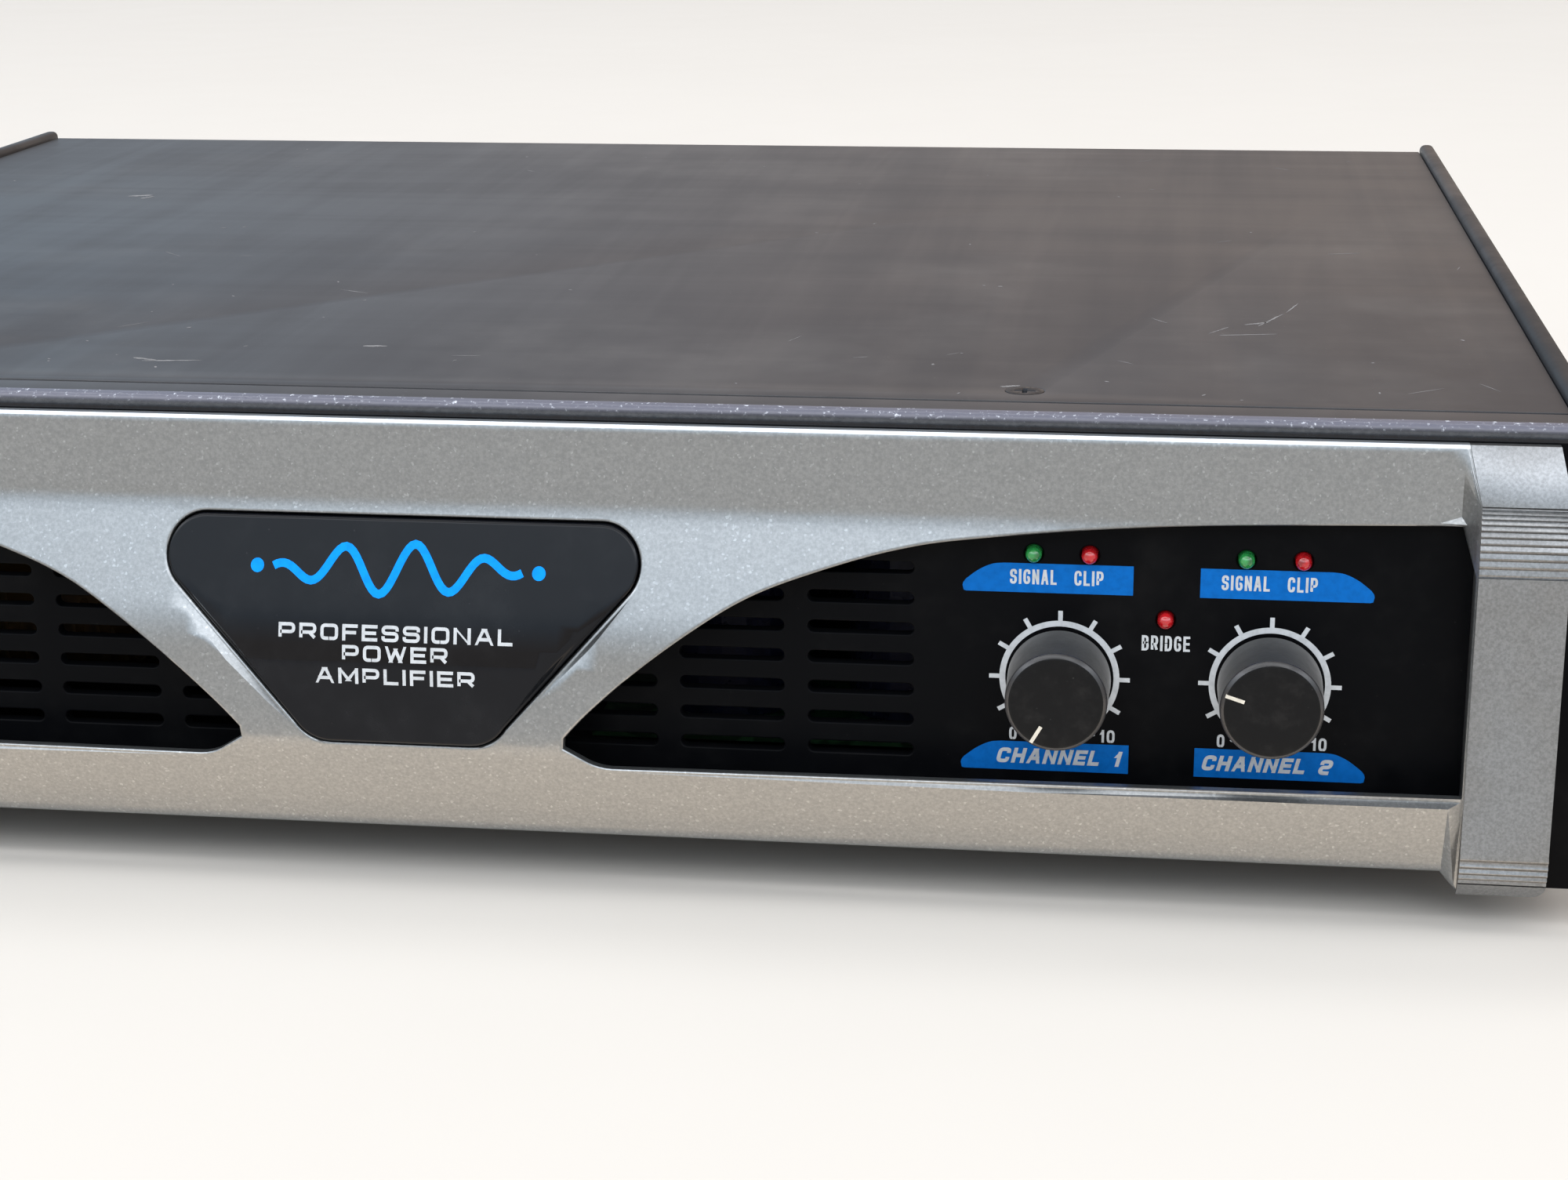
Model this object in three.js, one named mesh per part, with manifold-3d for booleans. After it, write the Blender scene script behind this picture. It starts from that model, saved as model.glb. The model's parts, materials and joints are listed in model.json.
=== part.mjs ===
// Two-channel rack power amplifier, two rack units high.
// Working axes: X to the right as seen from the front, Y to the back, Z up, in millimetres.
// While parts are drawn, y = 0 is the face of the front plate and z = 0 its lower edge;
// the last lines move the whole amplifier onto its feet and centre its depth.
import * as THREE from "three";
import { mergeVertices } from "three/addons/utils/BufferGeometryUtils.js";
import Module from "manifold-3d";

const wasm = await Module();
wasm.setup();

// ---------------------------------------------------------------- driving dimensions
const gap = 0.3;

const panel = { halfWidth: 241.3, height: 88, thick: 3, crown: 3, cornerRadius: 2.5 };
const rackSlot = { x: 232.5, spacing: 76.2, halfLength: 5.2, halfHeight: 3.4 };
const body = {
  halfWidth: 219,
  floor: 1.6,
  sheet: 1.6,
  depth: 364,
  coverTop: 87.4,
  rimTop: 89.4,
  rimWidth: 4.2,
  seam: 13.6,
};
const cover = { thick: 1.6, halfWidth: body.halfWidth - body.rimWidth - gap };
const foot = { radius: 11, below: 8, x: 180, front: 62, rear: 330 };

const vent = {
  rows: 7,
  lowRow: 22.5,
  rowPitch: 5.97,
  columns: 3,
  firstColumn: 37.1,
  columnPitch: 24.55,
  halfLength: 9.98,
  halfHeight: 1.15,
};

const channelX = [123.45, 162.15];
const control = {
  centreX: 142.75,
  knobZ: 37.85,
  ledZ: 61.8,
  ledOffset: 5.13,
  bridgeLedZ: 49.8,
  bushingHole: 4.5,
  ledHole: 1.75,
};
const knob = { radius: 9.6, face: -15.1, base: -0.9 };
const powerSwitch = { x: -142.75, z: 41, halfWidth: 7.5, halfHeight: 10.5 };

const fascia = {
  halfWidth: 197.2,
  top: 84.8,
  bottom: 3.9,
  shell: 2,
  band: -2.6,
  crease: 69.3,
  slopeFoot: [-10.6, 48.3],
  belly: [-13.2, 31],
  lowerCrease: [-12.9, 24.2],
  lowerEdge: -3.7,
};
const column = { inner: 197.5, outer: 213.3, face: -8.5, top: 84.8, cornerRadius: 2.4 };
column.lean = 2.2;
column.knee = [-7, 74.8];

// ---------------------------------------------------------------- materials
const finish = (color, roughness, metalness) =>
  new THREE.MeshStandardMaterial({ color, roughness, metalness });

const materials = {
  blackSteel: finish(0x1c1d20, 0.45, 0.3),
  coverSteel: finish(0x3d3f45, 0.4, 0.35),
  silverPaint: finish(0xb3b8bb, 0.42, 0.55),
  castAluminium: finish(0xb9bab9, 0.38, 0.85),
  glossBlack: finish(0x0b0c0e, 0.08, 0),
  mattBlack: finish(0x151516, 0.6, 0),
  rubber: finish(0x121212, 0.9, 0),
  greenLens: finish(0x1d6b34, 0.25, 0),
  redLens: finish(0x8c1a1c, 0.25, 0),
  zinc: finish(0x9a9c9f, 0.4, 0.8),
  circuitBoard: finish(0x1e4d2c, 0.6, 0),
  aluminium: finish(0xa9abad, 0.45, 0.8),
  winding: finish(0x9a7a3a, 0.5, 0.1),
  capacitor: finish(0x20242c, 0.4, 0),
};

// ---------------------------------------------------------------- solids and booleans
function toSolid(shape) {
  if (shape instanceof wasm.Manifold) return shape;
  const bare = new THREE.BufferGeometry();
  bare.setAttribute("position", shape.getAttribute("position").clone());
  if (shape.index) bare.setIndex(shape.index.clone());
  const merged = mergeVertices(bare, 1e-4);
  const mesh = new wasm.Mesh({
    numProp: 3,
    vertProperties: new Float32Array(merged.getAttribute("position").array),
    triVerts: new Uint32Array(merged.index.array),
  });
  mesh.merge();
  return new wasm.Manifold(mesh);
}

function toGeometry(shape) {
  if (shape instanceof THREE.BufferGeometry) return shape;
  const mesh = shape.getMesh();
  const geometry = new THREE.BufferGeometry();
  geometry.setAttribute("position", new THREE.Float32BufferAttribute(mesh.vertProperties, 3));
  geometry.setIndex(new THREE.Uint32BufferAttribute(mesh.triVerts, 1));
  geometry.computeVertexNormals();
  return geometry;
}

const cut = (base, ...tools) => toSolid(base).subtract(wasm.Manifold.union(tools.map(toSolid)));

const join = (...pieces) => wasm.Manifold.union(pieces.map(toSolid));

const common = (first, second) => toSolid(first).intersect(toSolid(second));

const mirror = (shape) => toSolid(shape).mirror([1, 0, 0]);

// ---------------------------------------------------------------- outlines
const outline = (points) => new THREE.Shape(points.map(([a, b]) => new THREE.Vector2(a, b)));

function roundedRectangle(x, z, halfWidth, halfHeight, radius, steps = 3) {
  const points = [];
  const corners = [
    [1, 1, 0],
    [-1, 1, Math.PI / 2],
    [-1, -1, Math.PI],
    [1, -1, 1.5 * Math.PI],
  ];
  for (const [sideX, sideZ, start] of corners) {
    for (let step = 0; step <= steps; step += 1) {
      const angle = start + (step / steps) * (Math.PI / 2);
      points.push([
        x + sideX * (halfWidth - radius) + radius * Math.cos(angle),
        z + sideZ * (halfHeight - radius) + radius * Math.sin(angle),
      ]);
    }
  }
  return points;
}

function circlePoints(x, z, radius, count = 18) {
  return Array.from({ length: count }, (_, index) => {
    const angle = (index / count) * 2 * Math.PI;
    return [x + radius * Math.cos(angle), z + radius * Math.sin(angle)];
  });
}

function arcPoints(x, z, radius, startDegrees, endDegrees, steps) {
  return Array.from({ length: steps + 1 }, (_, index) => {
    const degrees = startDegrees + ((endDegrees - startDegrees) * index) / steps;
    const angle = THREE.MathUtils.degToRad(degrees);
    return [x + radius * Math.cos(angle), z + radius * Math.sin(angle)];
  });
}

const mirrored = (points) => points.map(([x, z]) => [-x, z]).reverse();

// ---------------------------------------------------------------- extrusions and turned shapes
function extruded(shape, depth) {
  return new THREE.ExtrudeGeometry(shape, { depth, bevelEnabled: false, curveSegments: 8 });
}

// An outline in x and z, extruded from front to back.
function slab(points, front, back, holes = []) {
  const shape = outline(points);
  shape.holes = holes.map((hole) => outline(hole));
  const geometry = extruded(shape, back - front);
  geometry.rotateX(Math.PI / 2);
  geometry.translate(0, back, 0);
  return geometry;
}

// An outline in y and z, extruded from left to right.
function bar(points, left, right) {
  const geometry = extruded(outline(points), right - left);
  const turn = new THREE.Matrix4().makeBasis(
    new THREE.Vector3(0, 1, 0),
    new THREE.Vector3(0, 0, 1),
    new THREE.Vector3(1, 0, 0),
  );
  geometry.applyMatrix4(turn);
  geometry.translate(left, 0, 0);
  return geometry;
}

// An outline in x and y, extruded upwards.
function tile(points, low, high, holes = []) {
  const shape = outline(points);
  shape.holes = holes.map((hole) => outline(hole));
  const geometry = extruded(shape, high - low);
  geometry.translate(0, 0, low);
  return geometry;
}

function block(x, y, z) {
  const geometry = new THREE.BoxGeometry(x[1] - x[0], y[1] - y[0], z[1] - z[0]);
  geometry.translate((x[0] + x[1]) / 2, (y[0] + y[1]) / 2, (z[0] + z[1]) / 2);
  return geometry;
}

// A profile of [radius, y] turned about an axis that runs from front to back.
function turned(profile, x, z, segments = 20) {
  const points = profile.map(([radius, y]) => new THREE.Vector2(radius, y));
  const geometry = new THREE.LatheGeometry(points, segments);
  geometry.translate(x, 0, z);
  return geometry;
}

// A profile of [radius, z] turned about an upright axis.
function turnedUpright(profile, x, y, segments = 20) {
  const points = profile.map(([radius, height]) => new THREE.Vector2(radius, height));
  const geometry = new THREE.LatheGeometry(points, segments);
  geometry.rotateX(Math.PI / 2);
  geometry.translate(x, y, 0);
  return geometry;
}

const rod = (radius, y, x, z, segments = 18) =>
  turned([[0, y[0]], [radius, y[0]], [radius, y[1]], [0, y[1]]], x, z, segments);

const post = (radius, z, x, y, segments = 18) =>
  turnedUpright([[0, z[0]], [radius, z[0]], [radius, z[1]], [0, z[1]]], x, y, segments);

// ---------------------------------------------------------------- the tree of named meshes
const amplifier = new THREE.Group();

function add(name, shape, material) {
  const mesh = new THREE.Mesh(toGeometry(shape), material);
  mesh.name = name;
  amplifier.add(mesh);
}

// ---------------------------------------------------------------- chassis
function chassisTub() {
  const { halfWidth, floor, sheet, rimTop, rimWidth } = body;
  const inner = halfWidth - rimWidth;
  const shelf = body.coverTop - cover.thick - gap;
  const rimRadius = 1.6;
  const right = [
    [halfWidth - 1.5, floor],
    [halfWidth, floor + 1.5],
    ...arcPoints(halfWidth - rimRadius, rimTop - rimRadius, rimRadius, 0, 90, 4),
    ...arcPoints(inner + rimRadius, rimTop - rimRadius, rimRadius, 90, 180, 4),
    [inner, shelf],
    [inner - 9, shelf],
    [inner - 9, shelf - sheet],
    [halfWidth - sheet, shelf - sheet],
    [halfWidth - sheet, floor + sheet],
  ];
  const points = [...right, ...mirrored(right)];
  return slab(points, panel.thick + gap, body.depth);
}

function topCover() {
  const { halfWidth, thick } = cover;
  const low = body.coverTop - thick;
  const plate = block([-halfWidth, halfWidth], [body.seam, body.depth - 1], [low, body.coverTop]);
  const stiffener = (y) => block([-halfWidth + 14, halfWidth - 14], [y, y + 1.4], [low - 8, low + 0.5]);
  const high = body.coverTop + 0.1;
  const sink = [[0, low - 1], [2.5, low - 1], [2.5, low], [4, high], [0, high]];
  const sinks = coverScrew.x.map((x) => turnedUpright(sink, x, coverScrew.frontY, 16));
  const lip = [body.depth - 10, body.depth - 5];
  const bores = coverScrew.x.map((x) => rod(coverScrew.bore, lip, x, coverScrew.rearZ));
  return cut(join(plate, stiffener(body.seam + 1), stiffener(body.depth - 8)), ...sinks, ...bores);
}

// Two screws go down through the front of the lid, and two forwards through the rear panel into its lip.
const coverScrew = { x: [-115, 115], frontY: 22.5, rearZ: 80.4, bore: 2.2 };

function frontCoverScrew(x) {
  const y = coverScrew.frontY;
  const top = body.coverTop;
  const profile = [
    [0, top - 12],
    [1.7, top - 12],
    [1.9, top - 11],
    [1.9, top - 2],
    [3.7, top - 0.15],
    [3.7, top],
    [0, top],
  ];
  const blade = (halfX, halfY) =>
    block([x - halfX, x + halfX], [y - halfY, y + halfY], [top - 0.9, top + 0.5]);
  return cut(turnedUpright(profile, x, y, 16), blade(2, 0.45), blade(0.45, 2));
}

function rearCoverScrew(x) {
  const z = coverScrew.rearZ;
  const seat = rear.outside;
  const profile = [
    [0, body.depth - 11],
    [1.9, body.depth - 11],
    [1.9, seat],
    [3.6, seat],
    [3.6, seat + 1.2],
    [2.8, seat + 1.8],
    [0, seat + 1.8],
  ];
  const blade = (halfX, halfZ) =>
    block([x - halfX, x + halfX], [seat + 0.9, seat + 3], [z - halfZ, z + halfZ]);
  return cut(turned(profile, x, z, 16), blade(2, 0.45), blade(0.45, 2));
}

function rubberFoot(x, y) {
  const top = body.floor - gap;
  const profile = [
    [0, -foot.below + 2.5],
    [3.5, -foot.below + 2.5],
    [3.5, -foot.below],
    [foot.radius - 2.4, -foot.below],
    [foot.radius - 1.4, -foot.below + 0.8],
    [foot.radius, top],
    [0, top],
  ];
  return turnedUpright(profile, x, y, 20);
}

// ---------------------------------------------------------------- front plate
function ventSlots() {
  const slots = [];
  for (let row = 0; row < vent.rows; row += 1) {
    for (let number = 0; number < vent.columns; number += 1) {
      const x = vent.firstColumn + number * vent.columnPitch;
      const z = vent.lowRow + row * vent.rowPitch;
      const slot = roundedRectangle(x, z, vent.halfLength, vent.halfHeight, vent.halfHeight - 0.01, 2);
      slots.push(slot, mirrored(slot));
    }
  }
  return slots;
}

const ledPlaces = {
  signal_led_1: [channelX[0] - control.ledOffset, control.ledZ],
  clip_led_1: [channelX[0] + control.ledOffset, control.ledZ],
  bridge_led: [control.centreX, control.bridgeLedZ],
  signal_led_2: [channelX[1] - control.ledOffset, control.ledZ],
  clip_led_2: [channelX[1] + control.ledOffset, control.ledZ],
  power_led: [powerSwitch.x, control.ledZ],
};

// Between the columns the plate ends level with the inside of the chassis floor.
const plateNotch = body.floor + body.sheet;

function frontPlate() {
  const { halfWidth, height, thick, crown, cornerRadius } = panel;
  const arc = arcPoints(crown, height - crown, crown, 180, 90, 6);
  const crowned = bar([[0, 0], ...arc, [thick + 0.001, height], [thick + 0.001, 0]], -halfWidth, halfWidth);
  const holes = [
    ...ventSlots(),
    ...Object.values(ledPlaces).map(([x, z]) => circlePoints(x, z, control.ledHole, 14)),
    ...channelX.map((x) => circlePoints(x, control.knobZ, control.bushingHole)),
    roundedRectangle(powerSwitch.x, powerSwitch.z, 6.9, 9.9, 0.6, 2),
  ];
  for (const side of [-1, 1]) {
    for (const level of [-1, 1]) {
      const z = height / 2 + (level * rackSlot.spacing) / 2;
      const { x, halfLength, halfHeight } = rackSlot;
      holes.push(roundedRectangle(side * x, z, halfLength, halfHeight, halfHeight - 0.01, 4));
    }
  }
  const edge = roundedRectangle(0, height / 2, halfWidth, height / 2, cornerRadius);
  const seat = body.halfWidth + 0.4;
  const pierced = cut(
    common(crowned, slab(edge, -1, thick, holes)),
    block([-seat, seat], [thick - 0.3, thick + 1], [-1, height + 1]),
    block([-fascia.halfWidth, fascia.halfWidth], [-1, thick + 1], [-1, plateNotch]),
  );
  const top = body.coverTop;
  const flange = [
    [thick - 1.4, top - 6],
    [thick - 1.4, top - 0.6],
    [thick + 1.2, top],
    [body.seam - gap, top],
    [body.seam - gap, top - 1.4],
    [thick, top - 1.4],
    [thick, top - 6],
  ];
  const flangeHalf = cover.halfWidth;
  return join(pierced, bar(flange, -flangeHalf, flangeHalf));
}

// ---------------------------------------------------------------- silver fascia
// The face from its top edge to its bottom edge, as [y, z].
function fasciaFace() {
  const { band, top, bottom, crease, slopeFoot, belly, lowerCrease, lowerEdge } = fascia;
  const curve = new THREE.CatmullRomCurve3(
    [slopeFoot, [-11.8, 43.8], [-12.75, 38.6], belly].map(([y, z]) => new THREE.Vector3(y, z, 0)),
  );
  const bowed = curve.getPoints(6).map((point) => [point.x, point.y]);
  return [
    [band + 0.3, top],
    [band, top - 0.5],
    [band, crease + 0.8],
    [band - 0.35, crease - 0.8],
    ...bowed,
    [lowerCrease[0] - 0.15, lowerCrease[1] + 2],
    [lowerCrease[0] + 0.1, lowerCrease[1] - 0.7],
    [lowerEdge - 0.2, bottom + 0.5],
    [lowerEdge + 0.2, bottom],
  ];
}

// The same face moved inwards by a distance, for the inside of the moulding and for the badge.
function faceMovedIn(distance) {
  const face = fasciaFace();
  return face.map(([y, z], index) => {
    const before = face[Math.max(index - 1, 0)];
    const after = face[Math.min(index + 1, face.length - 1)];
    const alongY = after[0] - before[0];
    const alongZ = after[1] - before[1];
    const length = Math.hypot(alongY, alongZ);
    return [y - (alongZ / length) * distance, z + (alongY / length) * distance];
  });
}

function band(outer, inner, left, right) {
  return bar([...faceMovedIn(outer), ...faceMovedIn(inner).slice(1, -1).reverse()], left, right);
}

const openingTip = [31.6, 26.6];
const openingFloor = 20.4;
const openingCorner = [194.9, 69.9];

function openingOutline() {
  const crown = new THREE.SplineCurve(
    [
      openingTip,
      [36.6, 32],
      [45.5, 40],
      [56.3, 48],
      [66.4, 54],
      [78, 58.5],
      [93, 62.9],
      [108.6, 65.4],
      [144, 68.4],
      openingCorner,
    ].map(([x, z]) => new THREE.Vector2(x, z)),
  );
  return [
    ...crown.getPoints(27).map((point) => [point.x, point.y]),
    [fascia.halfWidth, 62.2],
    [fascia.halfWidth, openingFloor],
    [43, openingFloor - 0.1],
    [37.8, openingFloor + 0.6],
    [34.2, openingFloor + 2.3],
    [31.7, openingFloor + 4.4],
  ];
}

const badgeOutline = (clearance) => {
  const topCorner = { x: 38.2, z: 58.9, radius: 7.2 };
  const lowCorner = { x: 13.4, z: 32.3, radius: 7.9 };
  const right = [
    ...arcPoints(lowCorner.x, lowCorner.z, lowCorner.radius + clearance, -90, -32, 5),
    ...arcPoints(topCorner.x, topCorner.z, topCorner.radius + clearance, -42, 90, 9),
  ];
  return [...right, ...mirrored(right)];
};

function cornerWeb() {
  const start = fascia.halfWidth - 3;
  const wedge = tile(
    [
      [start, -gap],
      [start, fascia.band],
      [fascia.halfWidth, column.face],
      [fascia.halfWidth, -gap],
    ],
    0.6,
    fascia.top,
  );
  const room = [start - 1, fascia.halfWidth + 1];
  const straightHead = bar(
    [[-gap, column.top], [-2.2, column.top], column.knee, [-gap, column.knee[1]]],
    ...room,
  );
  return common(wedge, join(bar(columnProfile(false), ...room), straightHead));
}

function fasciaMoulding() {
  const half = fascia.halfWidth;
  const shell = band(0, fascia.shell, -half, half);
  const upperRib = block([-half, half], [fascia.band, -gap], [fascia.top - 2, fascia.top]);
  const lowerRib = block([-half, half], [fascia.lowerEdge, -gap], [fascia.bottom, fascia.bottom + 2]);
  const web = cornerWeb();
  const whole = join(shell, upperRib, lowerRib, web, mirror(web));
  const right = openingOutline();
  const tools = [
    slab(right, -30, -gap + 1),
    slab(mirrored(right), -30, -gap + 1),
    slab(badgeOutline(0.35), -30, -gap + 1),
    columnEnvelope(1),
    columnEnvelope(-1),
  ];
  return cut(whole, ...tools);
}

function badgePlate() {
  return common(slab(badgeOutline(0), -30, 0), band(-0.35, 1.7, -60, 60));
}

// ---------------------------------------------------------------- aluminium end columns
// The side outline of a column below its knee, as [y, z], with or without its grooves.
function columnProfile(grooved) {
  const { face, knee } = column;
  const upper = new THREE.QuadraticBezierCurve(
    new THREE.Vector2(...knee),
    new THREE.Vector2(face, 71),
    new THREE.Vector2(face, 62),
  );
  const lower = new THREE.QuadraticBezierCurve(
    new THREE.Vector2(face, 9.4),
    new THREE.Vector2(face, 5.2),
    new THREE.Vector2(-6.9, 2.9),
  );
  const ribs = (curve, count) => {
    if (!grooved) return curve.getPoints(8).map((point) => [point.x, point.y]);
    const points = [];
    for (let rib = 0; rib < count; rib += 1) {
      for (const [share, depth] of [[0.02, 0.42], [0.5, 0], [0.62, 0], [0.98, 0.42]]) {
        const point = curve.getPoint((rib + share) / count);
        points.push([point.x + depth, point.y]);
      }
    }
    points.push([curve.v2.x, curve.v2.y]);
    return points;
  };
  return [[-gap, knee[1]], knee, ...ribs(upper, 11), ...ribs(lower, 5), [-4.6, 0], [-gap, 0]];
}

// Above the knee the column leans back and towards the middle of the amplifier.
function columnHead(inner, outer, front = [-2.2, column.knee[0]]) {
  const { top, knee, lean } = column;
  const outlineOfHead = [[-gap, top], [front[0], top], [front[1], knee[1]], [-gap, knee[1]]];
  const geometry = bar(outlineOfHead, inner, outer);
  const position = geometry.getAttribute("position");
  for (let index = 0; index < position.count; index += 1) {
    if (position.getZ(index) > knee[1] + 1) position.setX(index, position.getX(index) - lean);
  }
  return geometry;
}

function endColumn(side) {
  const { inner, outer, cornerRadius } = column;
  const blank = join(bar(columnProfile(true), inner, outer), columnHead(inner, outer));
  const trim = slab(
    [
      [inner - 20, 120],
      [inner - 20, 0],
      ...arcPoints(outer - cornerRadius, cornerRadius, cornerRadius, -90, 0, 5),
      [outer, 120],
    ],
    -40,
    5,
  );
  const right = common(blank, trim);
  return side > 0 ? right : mirror(right);
}

// The room a column takes up, with the gap beside it.
function columnEnvelope(side) {
  const lower = [[5, column.knee[1]], [-60, column.knee[1]], [-60, -20], [5, -20]];
  const reach = [column.inner - gap, column.outer + 30];
  const head = columnHead(...reach, [-60, -60]);
  head.translate(0, gap, 0);
  const right = join(bar(lower, ...reach), head);
  return side > 0 ? right : mirror(right);
}

// ---------------------------------------------------------------- controls
function knobCap(x) {
  const { radius, face, base } = knob;
  const profile = [
    [0, face],
    [radius - 0.95, face],
    [radius - 0.35, face + 0.35],
    [radius - 0.15, face + 0.9],
    [radius, base],
    [radius - 1.5, base],
    [radius - 1.9, -4.4],
    [3.3, -4.4],
    [3.3, -11.2],
    [0, -11.2],
  ];
  return turned(profile, x, control.knobZ, 32);
}

const potShaft = (x) => rod(3, [-10.9, 9], x, control.knobZ, 14);

function potBody(x) {
  const z = control.knobZ;
  const back = panel.thick + gap;
  const bushing = rod(4.2, [-2.9, back + 2], x, z);
  const can = block([x - 8, x + 8], [back, back + 8.5], [z - 8, z + 8]);
  return cut(join(bushing, can), rod(3.3, [-5, 9.5], x, z));
}

function potNut(x) {
  const z = control.knobZ;
  return slab(circlePoints(x, z, 6.4, 6), -2.6, -gap, [circlePoints(x, z, 4.5)]);
}

function ledLamp(x, z) {
  const dome = arcPoints(-0.7, 0, 1.5, 180, 90, 4).map(([y, radius]) => [radius, y]);
  return turned([...dome, [1.5, 7], [1.9, 7], [1.9, 8.2], [0, 8.2]], x, z, 12);
}

function controlBoard() {
  const left = channelX[0] - 18;
  const right = channelX[1] + 18;
  return block([left, right], [12.4, 14], [24, 70]);
}

function switchHousing() {
  const { x, z, halfWidth, halfHeight } = powerSwitch;
  const flange = slab(roundedRectangle(x, z, halfWidth, halfHeight, 1.2), -2, -gap);
  const box = slab(roundedRectangle(x, z, 6.6, 9.6, 0.5, 2), -1, 20);
  const recess = block([x - 5.4, x + 5.4], [-5, 12], [z - 8.8, z + 8.8]);
  return cut(join(flange, box), recess);
}

const rocker = { pivotY: 3, halfTravel: 7 };

function rockerKey() {
  const { x, z } = powerSwitch;
  const profile = [
    [-6.6, 7.3],
    [-5, 3.4],
    [-4.4, 0],
    [-5, -3.4],
    [-6.6, -7.3],
    [0, -7.3],
    [4, -2.4],
    [4, 2.4],
    [0, 7.3],
  ];
  const geometry = bar(profile, -5, 5);
  geometry.rotateX(THREE.MathUtils.degToRad(-rocker.halfTravel));
  geometry.translate(x, rocker.pivotY, z);
  return geometry;
}

// ---------------------------------------------------------------- rear panel and its fittings
const rear = { face: body.depth - 0.3, thick: 1.5, low: 3.6, high: 83.5 };
rear.inside = rear.face - rear.thick;
rear.outside = rear.face + gap;

const fanPlaces = [-80, -16];
const fan = { z: 43, half: 26, bore: 23.6, hub: 11, depth: 20 };
const inlet = { x: -186, z: 43 };
const breaker = { x: -140, z: 43 };
const speaker = { x: 52, z: [62, 26] };
const modeSwitch = { x: 98, z: 44 };
const input = { x: 150, z: [62, 26] };

function rearPanel() {
  const halfWidth = body.halfWidth - body.sheet - gap;
  const middle = (rear.low + rear.high) / 2;
  const edge = roundedRectangle(0, middle, halfWidth, (rear.high - rear.low) / 2, 0.5, 2);
  const holes = [
    ...fanPlaces.map((x) => circlePoints(x, fan.z, fan.bore, 24)),
    ...coverScrew.x.map((x) => circlePoints(x, coverScrew.rearZ, coverScrew.bore)),
    roundedRectangle(inlet.x, inlet.z, 13.8, 10.2, 1, 2),
    circlePoints(breaker.x, breaker.z, 6.2),
    ...speaker.z.map((z) => circlePoints(speaker.x, z, 12.3)),
    ...input.z.map((z) => circlePoints(input.x, z, 11.8)),
    roundedRectangle(modeSwitch.x, modeSwitch.z, 7.2, 3.8, 0.5, 2),
  ];
  return slab(edge, rear.inside, rear.face, holes);
}

function fanFrame(x) {
  const { z, half, bore, hub, depth } = fan;
  const back = rear.inside - gap;
  const housing = slab(roundedRectangle(x, z, half, half, 3, 3), back - depth, back, [
    circlePoints(x, z, bore, 24),
  ]);
  const arms = [0, 1, 2].map((number) => {
    const arm = block([0, bore + 1], [back - 3, back], [-1.6, 1.6]);
    arm.rotateY((number * 2 * Math.PI) / 3 + 0.5);
    arm.translate(x, 0, z);
    return arm;
  });
  const motor = join(rod(hub, [back - 3, back], x, z), rod(2.4, [back - 12, back - 1], x, z));
  return join(housing, motor, ...arms);
}

function fanRotor(x) {
  const { z, hub, bore, depth } = fan;
  const back = rear.inside - gap - 3.6;
  const front = rear.inside - gap - depth + 1;
  const profile = [
    [0, front],
    [hub - 1, front],
    [hub, front + 1],
    [hub, back],
    [2.8, back],
    [2.8, back - 10],
    [0, back - 10],
  ];
  const cap = turned(profile, x, z);
  const blades = Array.from({ length: 7 }, (_, number) => {
    const blade = block([hub - 1, bore - 1.4], [-0.7, 0.7], [-7.4, 7.4]);
    blade.rotateX(THREE.MathUtils.degToRad(52));
    blade.translate(0, (front + back) / 2, 0);
    blade.rotateY((number * 2 * Math.PI) / 7);
    blade.translate(x, 0, z);
    return blade;
  });
  return join(cap, ...blades);
}

function fanGuard(x) {
  const { z, half } = fan;
  const front = rear.outside;
  const ring = (radius) => {
    const hole = circlePoints(x, z, radius - 0.8, 20);
    return slab(circlePoints(x, z, radius + 0.8, 20), front + 1.4, front + 2.8, [hole]);
  };
  const reach = half * Math.SQRT2 - 4;
  const spoke = (turns) => {
    const arm = block([-reach, reach], [front, front + 1.6], [-0.9, 0.9]);
    arm.rotateY(Math.PI / 4 + (turns * Math.PI) / 2);
    arm.translate(x, 0, z);
    return arm;
  };
  return join(spoke(0), spoke(1), rod(5, [front + 1.2, front + 2.8], x, z), ring(13), ring(21));
}

function mainsInlet() {
  const { x, z } = inlet;
  const flange = slab(roundedRectangle(x, z, 17, 13, 2), rear.outside, rear.outside + 2.4);
  const shell = slab(roundedRectangle(x, z, 13.4, 9.8, 1, 2), rear.inside - 20, rear.outside + 1);
  const socket = [
    [x - 12, z - 8.4],
    [x + 12, z - 8.4],
    [x + 12, z + 4.4],
    [x + 8, z + 8.4],
    [x - 8, z + 8.4],
    [x - 12, z + 4.4],
  ];
  const recess = slab(socket, rear.outside - 15, rear.outside + 5);
  const reach = [rear.outside - 17, rear.outside - 3];
  const pin = (offset, level) =>
    block([x + offset - 1, x + offset + 1], reach, [z + level - 2, z + level + 2]);
  return join(cut(join(flange, shell), recess), pin(-7, -2), pin(7, -2), pin(0, 2.6));
}

function breakerBody() {
  const { x, z } = breaker;
  const outside = rear.outside;
  return turned(
    [
      [4, rear.inside - 18],
      [5.9, rear.inside - 18],
      [5.9, outside],
      [8, outside],
      [8, outside + 3],
      [6.6, outside + 4.5],
      [4, outside + 4.5],
      [4, rear.inside - 18],
    ],
    x,
    z,
  );
}

const breakerButton = () =>
  turned(
    [
      [0, rear.inside - 6],
      [3.6, rear.inside - 6],
      [3.6, rear.outside + 7.4],
      [3, rear.outside + 8],
      [0, rear.outside + 8],
    ],
    breaker.x,
    breaker.z,
  );

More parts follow.
